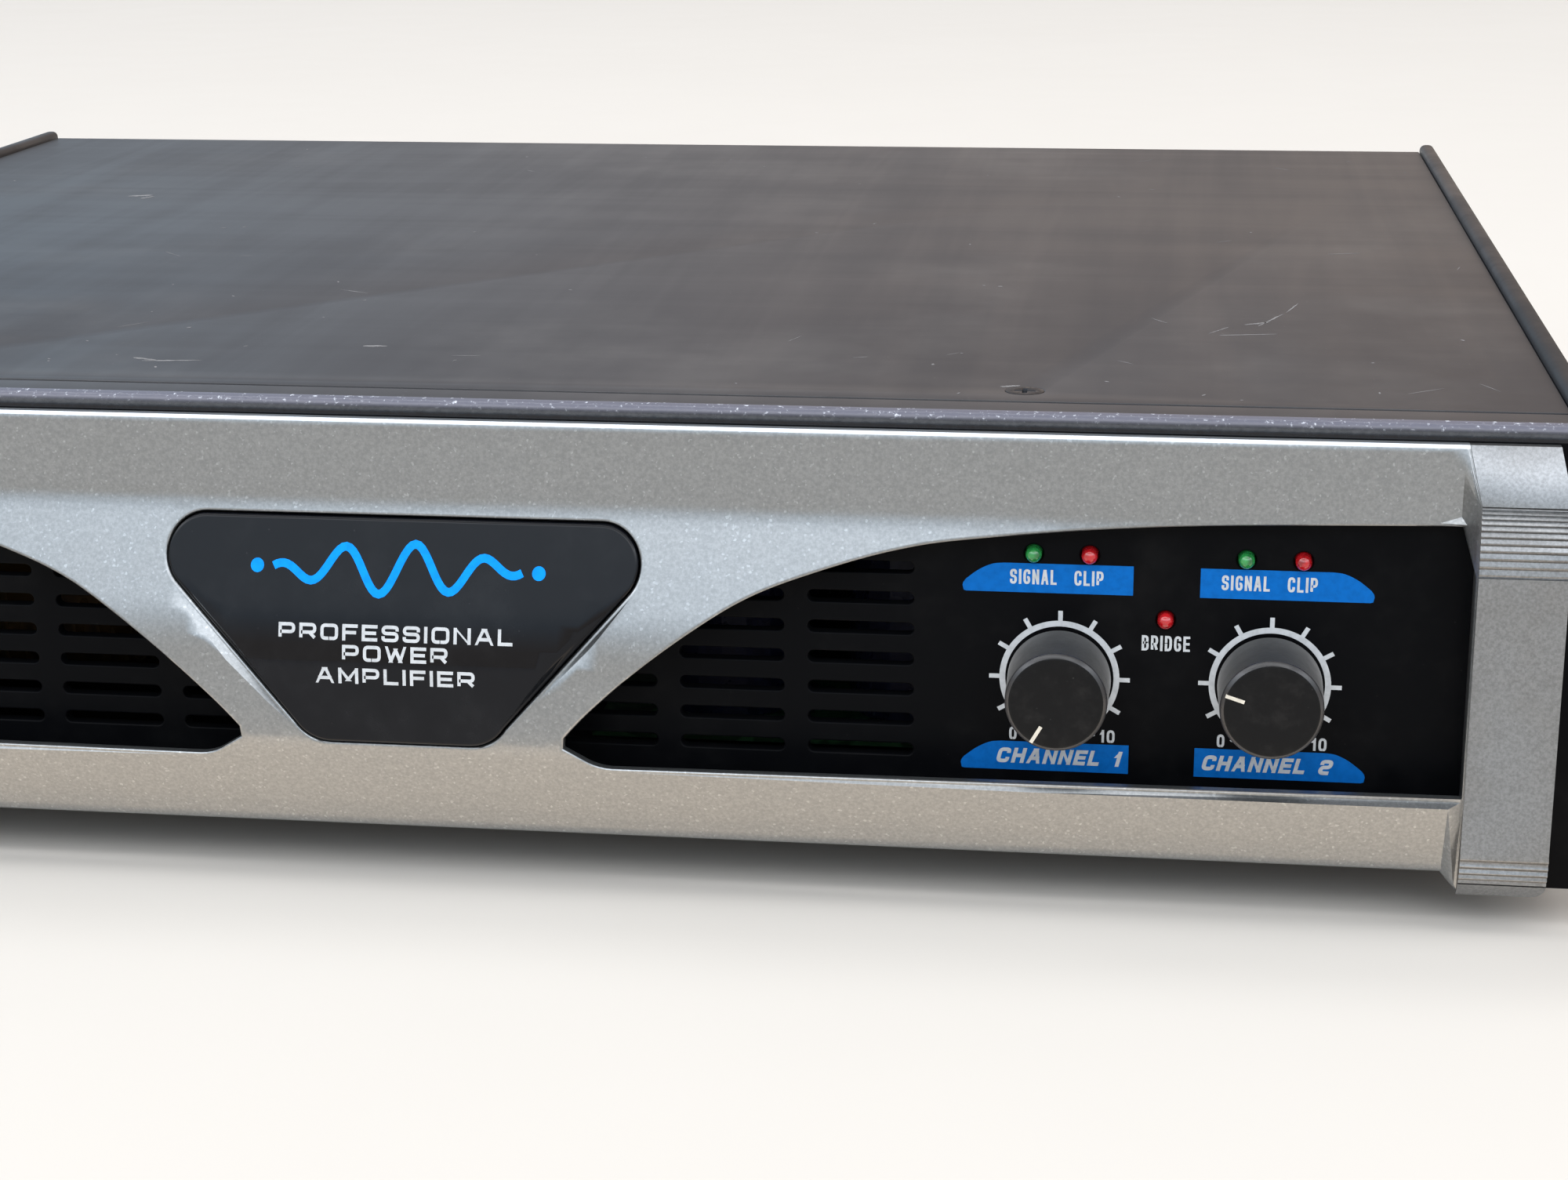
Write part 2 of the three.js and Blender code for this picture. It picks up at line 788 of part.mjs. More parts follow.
function connectorFlange(x, z, hole) {
  return slab(roundedRectangle(x, z, 13, 15.5, 2), rear.outside, rear.outside + 2, [
    circlePoints(x, z, hole),
  ]);
}

function speakerSocket(z) {
  const { x } = speaker;
  const barrel = rod(11.9, [rear.inside - 22, rear.outside + 3.4], x, z);
  const groove = turned(
    [
      [8.6, rear.outside - 16],
      [11.1, rear.outside - 16],
      [11.1, rear.outside + 5],
      [8.6, rear.outside + 5],
      [8.6, rear.outside - 16],
    ],
    x,
    z,
  );
  const keyway = block([x - 2, x + 2], [rear.outside - 14, rear.outside + 5], [z - 8.9, z - 6.4]);
  return cut(join(connectorFlange(x, z, 10), barrel), groove, keyway);
}

function inputSocket(z) {
  const { x } = input;
  const barrel = rod(11.4, [rear.inside - 20, rear.outside + 2.6], x, z);
  const groove = turned(
    [
      [7.9, rear.outside - 13],
      [9.9, rear.outside - 13],
      [9.9, rear.outside + 4],
      [7.9, rear.outside + 4],
      [7.9, rear.outside - 13],
    ],
    x,
    z,
  );
  const contacts = [90, 210, 330].map((degrees) => {
    const angle = THREE.MathUtils.degToRad(degrees);
    const [contactX, contactZ] = [x + 4.2 * Math.cos(angle), z + 4.2 * Math.sin(angle)];
    return rod(1.4, [rear.outside - 9, rear.outside + 4], contactX, contactZ, 8);
  });
  const latch = block([x - 3, x + 3], [rear.outside + 1.8, rear.outside + 3.4], [z + 10.2, z + 14]);
  return cut(join(connectorFlange(x, z, 10), barrel, latch), groove, ...contacts);
}

function modeSwitchBody() {
  const { x, z } = modeSwitch;
  const plate = slab(roundedRectangle(x, z, 15, 5.5, 1), rear.outside, rear.outside + 0.9);
  const box = block([x - 6.8, x + 6.8], [rear.inside - 7, rear.outside + 0.5], [z - 3.4, z + 3.4]);
  const slot = block([x - 5.2, x + 5.2], [rear.inside - 4, rear.outside + 4], [z - 2.2, z + 2.2]);
  return cut(join(plate, box), slot);
}

function modeSwitchSlider() {
  const { x, z } = modeSwitch;
  const left = x - 4.8;
  return block([left, left + 5.3], [rear.inside - 3, rear.outside + 3.4], [z - 1.8, z + 1.8]);
}

// ---------------------------------------------------------------- inside the chassis
const transformer = { x: -118, y: 118, inner: 16, outer: 58, low: 4.5, high: 60 };

function toroidalTransformer() {
  const { x, y, inner, outer, low, high } = transformer;
  const round = 12;
  const profile = [
    ...arcPoints(outer - round, high - round, round, 0, 90, 3),
    ...arcPoints(inner + round, high - round, round, 90, 180, 3),
    ...arcPoints(inner + round, low + round, round, 180, 270, 3),
    ...arcPoints(outer - round, low + round, round, 270, 360, 3),
    [outer, high - round],
  ];
  return turnedUpright(profile, x, y, 24);
}

function transformerWasher() {
  const { x, y, high } = transformer;
  const low = high + gap;
  return turnedUpright([[5, low], [40, low], [40, low + 2], [5, low + 2], [5, low]], x, y, 20);
}

function transformerBolt() {
  const { x, y, high } = transformer;
  const head = tile(circlePoints(x, y, 7.5, 6), high + 2 + 2 * gap, high + 8);
  return join(head, post(4, [body.floor + body.sheet + gap, high + 4], x, y, 20));
}

function heatSink(left) {
  const fins = 9;
  const width = 62;
  const low = 12;
  const base = 5;
  const height = 58;
  const pitch = width / fins;
  const points = [[left, low], [left + width, low]];
  for (let fin = fins - 1; fin >= 0; fin -= 1) {
    const right = left + (fin + 1) * pitch - pitch * 0.2;
    points.push([right, low + base], [right, low + height]);
    points.push([right - 2, low + height], [right - 2, low + base]);
  }
  points.splice(2, 0, [left + width, low + base]);
  points.push([left, low + base]);
  return slab(points, 165, 325);
}

const mainBoard = () => block([26, 196], [38, 150], [9, 10.6]);

function filterCapacitor(x, y) {
  const low = 10.6 + gap;
  return turnedUpright(
    [[0, low], [15, low], [15, low + 2], [14.4, low + 2.6], [15, low + 3.2], [15, 62], [14, 63], [0, 63]],
    x,
    y,
    18,
  );
}

function rectifier() {
  const low = body.floor + body.sheet + gap;
  return tile(roundedRectangle(-30, 220, 14, 14, 2, 3), low, low + 11, [circlePoints(-30, 220, 2.6, 14)]);
}

// ---------------------------------------------------------------- assembly
function addStructure() {
  add("chassis_tub", chassisTub(), materials.blackSteel);
  add("front_plate", frontPlate(), materials.blackSteel);
  add("top_cover", topCover(), materials.coverSteel);
  add("rear_panel", rearPanel(), materials.blackSteel);
  add("fascia_moulding", fasciaMoulding(), materials.silverPaint);
  add("badge_plate", badgePlate(), materials.glossBlack);
  add("end_column_right", endColumn(1), materials.castAluminium);
  add("end_column_left", endColumn(-1), materials.castAluminium);
  coverScrew.x.forEach((x, index) => {
    add(`cover_screw_${index + 1}`, frontCoverScrew(x), materials.zinc);
    add(`cover_screw_${index + 3}`, rearCoverScrew(x), materials.zinc);
  });
  const footPlaces = [-foot.x, foot.x].flatMap((x) => [[x, foot.front], [x, foot.rear]]);
  footPlaces.forEach(([x, y], index) => {
    add(`rubber_foot_${index + 1}`, rubberFoot(x, y), materials.rubber);
  });
}

function addControls() {
  channelX.forEach((x, index) => {
    const channel = index + 1;
    add(`knob_${channel}`, knobCap(x), materials.mattBlack);
    add(`pot_shaft_${channel}`, potShaft(x), materials.zinc);
    add(`pot_body_${channel}`, potBody(x), materials.zinc);
    add(`pot_nut_${channel}`, potNut(x), materials.zinc);
  });
  for (const [name, [x, z]] of Object.entries(ledPlaces)) {
    const green = name.startsWith("signal") || name.startsWith("power");
    add(name, ledLamp(x, z), green ? materials.greenLens : materials.redLens);
  }
  add("control_board", controlBoard(), materials.circuitBoard);
  add("power_switch_housing", switchHousing(), materials.mattBlack);
  add("power_rocker", rockerKey(), materials.glossBlack);
}

function addRearFittings() {
  fanPlaces.forEach((x, index) => {
    const number = index + 1;
    add(`fan_frame_${number}`, fanFrame(x), materials.mattBlack);
    add(`fan_rotor_${number}`, fanRotor(x), materials.mattBlack);
    add(`fan_guard_${number}`, fanGuard(x), materials.zinc);
  });
  add("mains_inlet", mainsInlet(), materials.mattBlack);
  add("breaker_body", breakerBody(), materials.mattBlack);
  add("breaker_button", breakerButton(), materials.redLens);
  speaker.z.forEach((z, index) => {
    add(`speaker_socket_${index + 1}`, speakerSocket(z), materials.mattBlack);
  });
  input.z.forEach((z, index) => {
    add(`input_socket_${index + 1}`, inputSocket(z), materials.mattBlack);
  });
  add("mode_switch_body", modeSwitchBody(), materials.zinc);
  add("mode_switch_slider", modeSwitchSlider(), materials.mattBlack);
}

function addInside() {
  add("toroidal_transformer", toroidalTransformer(), materials.winding);
  add("transformer_washer", transformerWasher(), materials.zinc);
  add("transformer_bolt", transformerBolt(), materials.zinc);
  add("heat_sink_1", heatSink(40), materials.aluminium);
  add("heat_sink_2", heatSink(128), materials.aluminium);
  add("main_board", mainBoard(), materials.circuitBoard);
  const capacitorPlaces = [52, 92].flatMap((x) => [[x, 62], [x, 108]]);
  capacitorPlaces.forEach(([x, y], index) => {
    add(`filter_capacitor_${index + 1}`, filterCapacitor(x, y), materials.capacitor);
  });
  add("rectifier", rectifier(), materials.mattBlack);
}

addStructure();
addControls();
addRearFittings();
addInside();

// The frame's origin is the middle of the footprint: y runs from the knob faces to the button at the back.
const rearmost = rear.outside + 8;
amplifier.position.set(0, -(knob.face + rearmost) / 2, foot.below);

export default amplifier;
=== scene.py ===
"""Looks of a two-unit rack power amplifier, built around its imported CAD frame."""

import json
import math
import random

import bmesh
import bpy
import numpy as np
from mathutils import Matrix, Vector
from mathutils.geometry import delaunay_2d_cdt


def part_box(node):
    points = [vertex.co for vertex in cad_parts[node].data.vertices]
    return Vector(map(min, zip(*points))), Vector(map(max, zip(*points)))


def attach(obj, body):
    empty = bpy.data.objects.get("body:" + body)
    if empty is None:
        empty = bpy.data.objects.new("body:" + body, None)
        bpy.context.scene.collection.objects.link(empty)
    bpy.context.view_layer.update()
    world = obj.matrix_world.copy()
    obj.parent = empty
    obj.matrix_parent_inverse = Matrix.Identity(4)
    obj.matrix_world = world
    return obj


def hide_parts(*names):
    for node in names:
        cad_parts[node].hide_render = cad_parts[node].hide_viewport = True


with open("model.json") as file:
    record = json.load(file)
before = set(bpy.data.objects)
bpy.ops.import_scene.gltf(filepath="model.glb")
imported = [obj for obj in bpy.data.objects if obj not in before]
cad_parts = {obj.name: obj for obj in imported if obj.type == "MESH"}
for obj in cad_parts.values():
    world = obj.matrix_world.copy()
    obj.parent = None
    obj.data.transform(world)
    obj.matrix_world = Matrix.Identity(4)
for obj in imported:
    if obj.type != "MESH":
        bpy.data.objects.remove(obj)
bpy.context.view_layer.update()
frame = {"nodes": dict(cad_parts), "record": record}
random.seed(7)

# ---- the frame, in millimetres
# Sizes below are millimetres from the front plate: x to the right, y backwards from its face,
# z upwards from its lower edge.
MM = 0.001
plate_low, plate_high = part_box("front_plate")
FACE = Vector((0, plate_low.y, plate_low.z))
HALF_WIDTH = plate_high.x / MM


def place(x, y, z):
    """A point given in millimetres from the front plate, in the frame's metres."""
    return Vector((x, y, z)) * MM + FACE


def height(z):
    """A height in millimetres from the front plate's lower edge, in the frame's metres."""
    return place(0, 0, z).z


def corners(node):
    """A CAD node's lowest and highest corners, in millimetres from the front plate."""
    low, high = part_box(node)
    return (low - FACE) / MM, (high - FACE) / MM


def middle_of(node):
    """A CAD node's middle, in millimetres from the front plate."""
    return sum(corners(node), Vector()) / 2


plate_top = (plate_high.z - plate_low.z) / MM
rear_face = corners("rear_panel")[1].y
fascia_low, fascia_high = corners("fascia_moulding")
cover_low, cover_high = corners("top_cover")
knob_axes = [middle_of(node) for node in ("knob_1", "knob_2")]
control_middle = middle_of("bridge_led").x
slot_of = {part["node"]: part["material_slot"] for part in frame["record"]["subparts"]}


# ---- material nodes
class Paint:
    """A material with its shader and short calls for the nodes that most finishes need."""

    def __init__(self, name, color, roughness, metallic=0.0, **sockets):
        self.material = bpy.data.materials.new(name)
        self.material.use_nodes = True
        self.nodes = self.material.node_tree.nodes
        self.links = self.material.node_tree.links
        self.shader = self.nodes["Principled BSDF"]
        self.shader.inputs["Base Color"].default_value = (*color, 1)
        self.shader.inputs["Roughness"].default_value = roughness
        self.shader.inputs["Metallic"].default_value = metallic
        for socket, value in sockets.items():
            self.shader.inputs[socket.replace("_", " ")].default_value = value
        self.place = self.nodes.new("ShaderNodeTexCoord").outputs["Object"]
        self.normal = None

    def stretched(self, scale):
        mapping = self.nodes.new("ShaderNodeMapping")
        mapping.inputs["Scale"].default_value = scale
        self.links.new(self.place, mapping.inputs["Vector"])
        return mapping.outputs["Vector"]

    def noise(self, scale, detail=2.0, roughness=0.5, where=None, distortion=0.0):
        node = self.nodes.new("ShaderNodeTexNoise")
        node.inputs["Scale"].default_value = scale
        node.inputs["Detail"].default_value = detail
        node.inputs["Roughness"].default_value = roughness
        node.inputs["Distortion"].default_value = distortion
        self.links.new(where or self.place, node.inputs["Vector"])
        return node.outputs["Fac"]

    def cells(self, scale, output="Distance", randomness=1.0):
        node = self.nodes.new("ShaderNodeTexVoronoi")
        node.inputs["Scale"].default_value = scale
        node.inputs["Randomness"].default_value = randomness
        self.links.new(self.place, node.inputs["Vector"])
        return node.outputs[output]

    def along(self, axis):
        split = self.nodes.new("ShaderNodeSeparateXYZ")
        self.links.new(self.place, split.inputs["Vector"])
        return split.outputs[axis]

    def remap(self, value, low, high, to_low=0.0, to_high=1.0):
        node = self.nodes.new("ShaderNodeMapRange")
        node.interpolation_type = "SMOOTHSTEP"
        self.links.new(value, node.inputs["Value"])
        sockets = ("From Min", "From Max", "To Min", "To Max")
        for socket, number in zip(sockets, (low, high, to_low, to_high)):
            node.inputs[socket].default_value = number
        return node.outputs["Result"]

    def math(self, operation, first, second):
        node = self.nodes.new("ShaderNodeMath")
        node.operation = operation
        for socket, value in zip(node.inputs, (first, second)):
            if isinstance(value, (int, float)):
                socket.default_value = value
            else:
                self.links.new(value, socket)
        return node.outputs["Value"]

    def blend(self, share, first, second):
        node = self.nodes.new("ShaderNodeMix")
        node.data_type = "RGBA"
        self.links.new(share, node.inputs["Factor"])
        for socket, value in zip(("A", "B"), (first, second)):
            target = next(i for i in node.inputs if i.name == socket and i.type == "RGBA")
            if isinstance(value, tuple):
                target.default_value = (*value, 1)
            else:
                self.links.new(value, target)
        return next(o for o in node.outputs if o.type == "RGBA")

    def bump(self, height, strength, distance=0.0002):
        node = self.nodes.new("ShaderNodeBump")
        node.inputs["Strength"].default_value = strength
        node.inputs["Distance"].default_value = distance
        self.links.new(height, node.inputs["Height"])
        if self.normal is not None:
            self.links.new(self.normal, node.inputs["Normal"])
        self.normal = node.outputs["Normal"]
        self.links.new(self.normal, self.shader.inputs["Normal"])

    def color(self, source):
        self.links.new(source, self.shader.inputs["Base Color"])

    def rough(self, source):
        self.links.new(source, self.shader.inputs["Roughness"])

    def glow(self, color, strength):
        self.shader.inputs["Emission Color"].default_value = (*color, 1)
        self.shader.inputs["Emission Strength"].default_value = strength


def silver_paint():
    paint = Paint("silver_flake_paint", (0.34, 0.35, 0.36), 0.33, 0.92)
    flake = paint.cells(2300, "Color")
    grain = paint.noise(1500, 3, 0.65)
    tone = paint.blend(paint.remap(grain, 0.3, 0.72), (0.24, 0.25, 0.255), (0.305, 0.315, 0.32))
    sparkle = paint.remap(flake, 0.8, 0.97)
    tone = paint.blend(paint.math("MULTIPLY", sparkle, 0.25), tone, (0.7, 0.73, 0.76))
    # painted highlight: a thin band along the fascia's top edge is painted near-white, standing in for light
    # caught by the edge
    painted_top_edge_highlight = paint.remap(paint.along("Z"), height(fascia_high.z - 0.75), height(fascia_high.z - 0.4))
    paint.color(paint.blend(painted_top_edge_highlight, tone, (0.62, 0.66, 0.7)))
    wear = paint.noise(35, 4, 0.6)
    paint.rough(paint.remap(wear, 0.3, 0.75, 0.29, 0.35))
    paint.bump(flake, 0.06, 0.00005)
    paint.bump(grain, 0.12, 0.00006)
    return paint.material


def blasted_aluminium():
    paint = Paint("blasted_aluminium", (0.3, 0.305, 0.31), 0.32, 0.95)
    grain = paint.noise(1700, 4, 0.7)
    blotch = paint.noise(60, 4, 0.6)
    tone = paint.blend(paint.remap(grain, 0.3, 0.7), (0.2, 0.202, 0.205), (0.285, 0.29, 0.294))
    paint.color(paint.blend(paint.remap(blotch, 0.55, 0.8, 0.0, 0.2), tone, (0.25, 0.24, 0.23)))
    paint.rough(paint.remap(blotch, 0.3, 0.8, 0.28, 0.36))
    paint.bump(grain, 0.14, 0.00008)
    return paint.material


def dusted(paint, base, dust, coarse, amount):
    """The base colour with thin dust lying on it in soft patches and as small specks."""
    patches = paint.remap(paint.noise(coarse, 6, 0.65), 0.45, 0.85, 0.0, amount)
    specks = paint.remap(paint.cells(700), 0.0, 0.16, amount * 3.0, 0.0)
    rare = paint.remap(paint.noise(230, 2, 0.5), 0.6, 0.68)
    share = paint.math("MAXIMUM", patches, paint.math("MULTIPLY", specks, rare))
    return paint.blend(share, base, dust)


def plate_black():
    paint = Paint("satin_black_plate", (0.003, 0.0033, 0.004), 0.38, Specular_IOR_Level=0.04)
    paint.color(dusted(paint, (0.0022, 0.0024, 0.003), (0.2, 0.19, 0.18), 60, 0.02))
    paint.rough(paint.remap(paint.noise(90, 4, 0.6), 0.3, 0.7, 0.3, 0.46))
    paint.bump(paint.noise(1400, 2, 0.5), 0.06, 0.00005)
    return paint.material


def lip_black():
    """Dark paint along the plate's top edge, glossy black below; above, a painted highlight: the upper band
    is painted a paler grey-blue with pale specks, standing in for light caught on the crown.
    """
    paint = Paint("textured_black_lip", (0.006, 0.0065, 0.009), 0.22, Specular_IOR_Level=0.35)
    upper = paint.remap(paint.along("Z"), height(plate_top - 1.7), height(plate_top - 0.7))
    peel = paint.noise(900, 3, 0.55)
    specks = paint.remap(paint.noise(900, 4, 0.7), 0.58, 0.72)
    # painted highlight: the upper band is painted lighter and given pale glint specks where light would catch
    # the crown
    tone = paint.blend(upper, (0.006, 0.0065, 0.009), (0.12, 0.12, 0.15))
    paint.color(paint.blend(paint.math("MULTIPLY", specks, upper), tone, (0.6, 0.62, 0.68)))
    paint.rough(paint.remap(peel, 0.3, 0.7, 0.16, 0.28))
    paint.bump(peel, 0.3, 0.0002)
    return paint.material


def cover_paint():
    paint = Paint("worn_cover_paint", (0.03, 0.03, 0.033), 0.42, Specular_IOR_Level=0.55)
    paint.color(dusted(paint, (0.026, 0.025, 0.028), (0.32, 0.3, 0.28), 9, 0.16))
    streaks = paint.noise(60, 3, 0.6, paint.stretched((1.0, 0.05, 1.0)), 0.4)
    cross = paint.noise(50, 3, 0.6, paint.stretched((0.06, 1.0, 1.0)), 0.4)
    cloud = paint.noise(7, 4, 0.6)
    brushed = paint.math("ADD", paint.math("MULTIPLY", streaks, 0.35), paint.math("MULTIPLY", cross, 0.25))
    mixed = paint.math("ADD", brushed, paint.math("MULTIPLY", cloud, 0.4))
    paint.rough(paint.remap(mixed, 0.35, 0.7, 0.36, 0.52))
    paint.bump(paint.noise(1300, 3, 0.6), 0.12, 0.00008)
    paint.bump(paint.noise(45, 2, 0.5), 0.1, 0.0004)
    return paint.material


def chassis_paint():
    paint = Paint("chassis_black_paint", (0.014, 0.014, 0.016), 0.45)
    paint.color(dusted(paint, (0.012, 0.012, 0.014), (0.25, 0.24, 0.22), 14, 0.08))
    paint.rough(paint.remap(paint.noise(40, 4, 0.6), 0.3, 0.7, 0.38, 0.55))
    paint.bump(paint.noise(1200, 3, 0.6), 0.15, 0.00008)
    return paint.material


def gloss_black():
    paint = Paint("gloss_black_lens", (0.003, 0.0034, 0.005), 0.07, Specular_IOR_Level=0.22)
    paint.color(dusted(paint, (0.003, 0.0034, 0.005), (0.3, 0.31, 0.33), 60, 0.02))
    smear = paint.noise(70, 5, 0.7)
    paint.rough(paint.remap(smear, 0.45, 0.8, 0.05, 0.2))
    scratches = paint.noise(140, 2, 0.5, paint.stretched((1.0, 1.0, 0.06)), 0.6)
    paint.bump(paint.remap(scratches, 0.49, 0.5), 0.02, 0.00002)
    return paint.material


def moulded(name, color, roughness, grain=900, strength=0.15):
    paint = Paint(name, color, roughness)
    lighter = tuple(min(1.0, c * 1.6 + 0.004) for c in color)
    paint.color(paint.blend(paint.remap(paint.noise(180, 4, 0.6), 0.4, 0.8), color, lighter))
    paint.rough(paint.remap(paint.noise(120, 3, 0.6), 0.3, 0.7, roughness - 0.06, roughness + 0.08))
    paint.bump(paint.noise(grain, 3, 0.6), strength, 0.0001)
    return paint.material


def knob_plastic():
    paint = Paint(
        "knob_soft_black", (0.006, 0.006, 0.0062), 0.5,
        Specular_IOR_Level=0.08, Sheen_Weight=0.35, Sheen_Roughness=0.4,
    )
    paint.color(dusted(paint, (0.005, 0.005, 0.0052), (0.2, 0.19, 0.18), 260, 0.05))
    paint.rough(paint.remap(paint.noise(240, 3, 0.6), 0.3, 0.7, 0.42, 0.6))
    paint.bump(paint.noise(1600, 3, 0.6), 0.2, 0.00008)
    return paint.material


def ink(name, color, glow=0.0):
    """Screen print: an even coat with a faint mottle."""
    paint = Paint(name, color, 0.42, Specular_IOR_Level=0.05)
    darker = tuple(c * 0.82 for c in color)
    paint.color(paint.blend(paint.remap(paint.noise(650, 3, 0.6), 0.35, 0.75), color, darker))
    paint.rough(paint.remap(paint.noise(300, 2, 0.5), 0.3, 0.7, 0.36, 0.48))
    # painted glow: print given a glow gives off light of its own colour, though it is no lamp
    if glow:
        paint.glow(color, glow)
    return paint.material


def lens(name, color):
    paint = Paint(name, color, 0.12, Coat_Weight=0.5, Subsurface_Weight=0.15)
    deep = tuple(c * 0.35 for c in color)
    paint.color(paint.blend(paint.remap(paint.noise(500, 2, 0.5), 0.3, 0.7), deep, color))
    # painted glow: the unlit lens gives off a little light of its own colour, standing in for light passing
    # through it
    paint.glow(color, 0.12)
    return paint.material


def bare_metal(name, color, roughness, stretch=(1.0, 1.0, 0.08)):
    """Plated or extruded metal with fine lines left by its making."""
    paint = Paint(name, color, roughness, 0.95)
    lines = paint.noise(900, 3, 0.6, paint.stretched(stretch))
    blotch = paint.noise(60, 4, 0.6)
    darker = tuple(c * 0.7 for c in color)
    paint.color(paint.blend(paint.remap(blotch, 0.4, 0.75), color, darker))
    paint.rough(paint.remap(lines, 0.3, 0.7, roughness - 0.08, roughness + 0.12))
    paint.bump(lines, 0.2, 0.00006)
    return paint.material


def taped_winding():
    paint = Paint("taped_winding", (0.1, 0.055, 0.015), 0.3, 0.25)
    turns = paint.noise(160, 1, 0.4, paint.stretched((1.0, 1.0, 0.25)))
    paint.color(paint.blend(paint.remap(turns, 0.4, 0.6), (0.11, 0.06, 0.018), (0.05, 0.027, 0.009)))
    paint.rough(paint.remap(turns, 0.3, 0.7, 0.22, 0.45))
    paint.bump(turns, 0.4, 0.0005)
    return paint.material


def solder_resist():
    paint = Paint("solder_resist", (0.02, 0.1, 0.04), 0.4)
    tracks = paint.remap(paint.noise(130, 1, 0.3), 0.5, 0.54)
    paint.color(paint.blend(tracks, (0.012, 0.07, 0.025), (0.04, 0.16, 0.06)))
    paint.rough(paint.remap(paint.noise(80, 2, 0.5), 0.3, 0.7, 0.3, 0.45))
    paint.bump(tracks, 0.1, 0.0001)
    return paint.material


def floor_paint():
    paint = Paint("pale_floor", (0.64, 0.6, 0.55), 0.7, Specular_IOR_Level=0.1)
    paint.color(paint.blend(paint.noise(3, 3, 0.5), (0.65, 0.61, 0.56), (0.63, 0.59, 0.54)))
    paint.rough(paint.remap(paint.noise(20, 2, 0.5), 0.3, 0.7, 0.65, 0.75))
    return paint.material


MATERIALS = {
    "black_steel": chassis_paint(),
    "plate": plate_black(),
    "lip": lip_black(),
    "cover_steel": cover_paint(),
    "silver_paint": silver_paint(),
    "cast_aluminium": blasted_aluminium(),
    "gloss_black": gloss_black(),
    "matt_black": moulded("moulded_black", (0.012, 0.012, 0.013), 0.5),
    "knob": knob_plastic(),
    "knob_rim": moulded("knob_polished_rim", (0.02, 0.019, 0.02), 0.28, 1500, 0.08),
    "foot_rubber": moulded("foot_rubber", (0.014, 0.014, 0.014), 0.8, 500, 0.3),
    "green_lens": lens("green_lens", (0.02, 0.22, 0.05)),
    "red_lens": lens("red_lens", (0.42, 0.008, 0.012)),
    "zinc_plate": bare_metal("zinc_plate", (0.45, 0.46, 0.47), 0.36),
    "dark_screw": bare_metal("blackened_screw", (0.05, 0.05, 0.055), 0.35),
    "circuit_board": solder_resist(),
    "sink_aluminium": bare_metal("sink_aluminium", (0.5, 0.51, 0.52), 0.4, (1.0, 0.05, 1.0)),
    "winding": taped_winding(),
    "capacitor_sleeve": moulded("capacitor_sleeve", (0.012, 0.016, 0.05), 0.3),
    "white_ink": ink("light_ink", (0.5, 0.52, 0.54)),
    "blue_ink": ink("blue_ink", (0.003, 0.115, 0.42)),
    # painted glow: the emblem's blue print gives off a faint light of its own, though it is no lamp
    "blue_mark": ink("blue_mark_ink", (0.003, 0.24, 0.78), 0.12),
    "cream": ink("cream_pointer", (0.62, 0.58, 0.5)),
    "scuff": moulded("bare_scuff", (0.17, 0.165, 0.165), 0.6),
}


# ---- pieces
CREASE = math.radians(32)


def shade(mesh):
    mesh.shade_smooth()
    mesh.set_sharp_from_angle(angle=CREASE)


def put(name, data):
    """A new object in the scene."""
    item = bpy.data.objects.new(name, data)
    bpy.context.scene.collection.objects.link(item)
    return item


def add_piece(name, mesh, slot, body="chassis", material=None, stands_for=()):
    piece = put(name, mesh)
    mesh.materials.append(MATERIALS[material or slot])
    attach(piece, body)
    if stands_for:
        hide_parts(*stands_for)
    return piece


def mesh_from(name, points, faces):
    """A closed mesh from points in millimetres, with its faces turned outwards and no spare points."""
    mesh = bpy.data.meshes.new(name)
    mesh.from_pydata([place(*point) for point in points], [], faces)
    work = bmesh.new()
    work.from_mesh(mesh)
    bmesh.ops.delete(work, geom=[v for v in work.verts if not v.link_faces], context="VERTS")
    bmesh.ops.recalc_face_normals(work, faces=work.faces)
    work.to_mesh(mesh)
    work.free()
    shade(mesh)
    return mesh


def refined(node, edge=0.25, material=None, body="chassis"):
    """A finer copy of a CAD node: flat faces made whole again and their edges rounded."""
    source = frame["nodes"][node]
    work = bmesh.new()
    work.from_mesh(source.data)
    bmesh.ops.remove_doubles(work, verts=work.verts, dist=2e-6)
    bmesh.ops.dissolve_limit(
        work, angle_limit=math.radians(0.6), verts=work.verts, edges=work.edges, delimit=set()
    )
    sharp = [e for e in work.edges if len(e.link_faces) == 2 and e.calc_face_angle(0) > CREASE]
    bmesh.ops.bevel(
        work, geom=sharp, offset=edge * MM, segments=2, profile=0.5, affect="EDGES", clamp_overlap=True
    )
    mesh = bpy.data.meshes.new(node + "_fine")
    work.to_mesh(mesh)
    work.free()
    shade(mesh)
    add_piece(node + "_fine", mesh, slot_of[node], body, material, (node,))


# ---- outlines in x and z
def arc(x, z, radius, start, end, steps):
    turns = [math.radians(start + (end - start) * i / steps) for i in range(steps + 1)]
    return [(x + radius * math.cos(t), z + radius * math.sin(t)) for t in turns]


def rounded_box(x, z, half_x, half_z, radius, steps=6):
    right, left = x + half_x - radius, x - half_x + radius
    top, low = z + half_z - radius, z - half_z + radius
    return (
        arc(right, top, radius, 0, 90, steps)
        + arc(left, top, radius, 90, 180, steps)
        + arc(left, low, radius, 180, 270, steps)
        + arc(right, low, radius, 270, 360, steps)
    )


def heading(degrees):
    """The directions along and across a turn."""
    turn = math.radians(degrees)
    along = Vector((math.cos(turn), math.sin(turn)))
    return along, Vector((-along.y, along.x))


def mirrored(points):
    return [(-x, z) for x, z in reversed(points)]


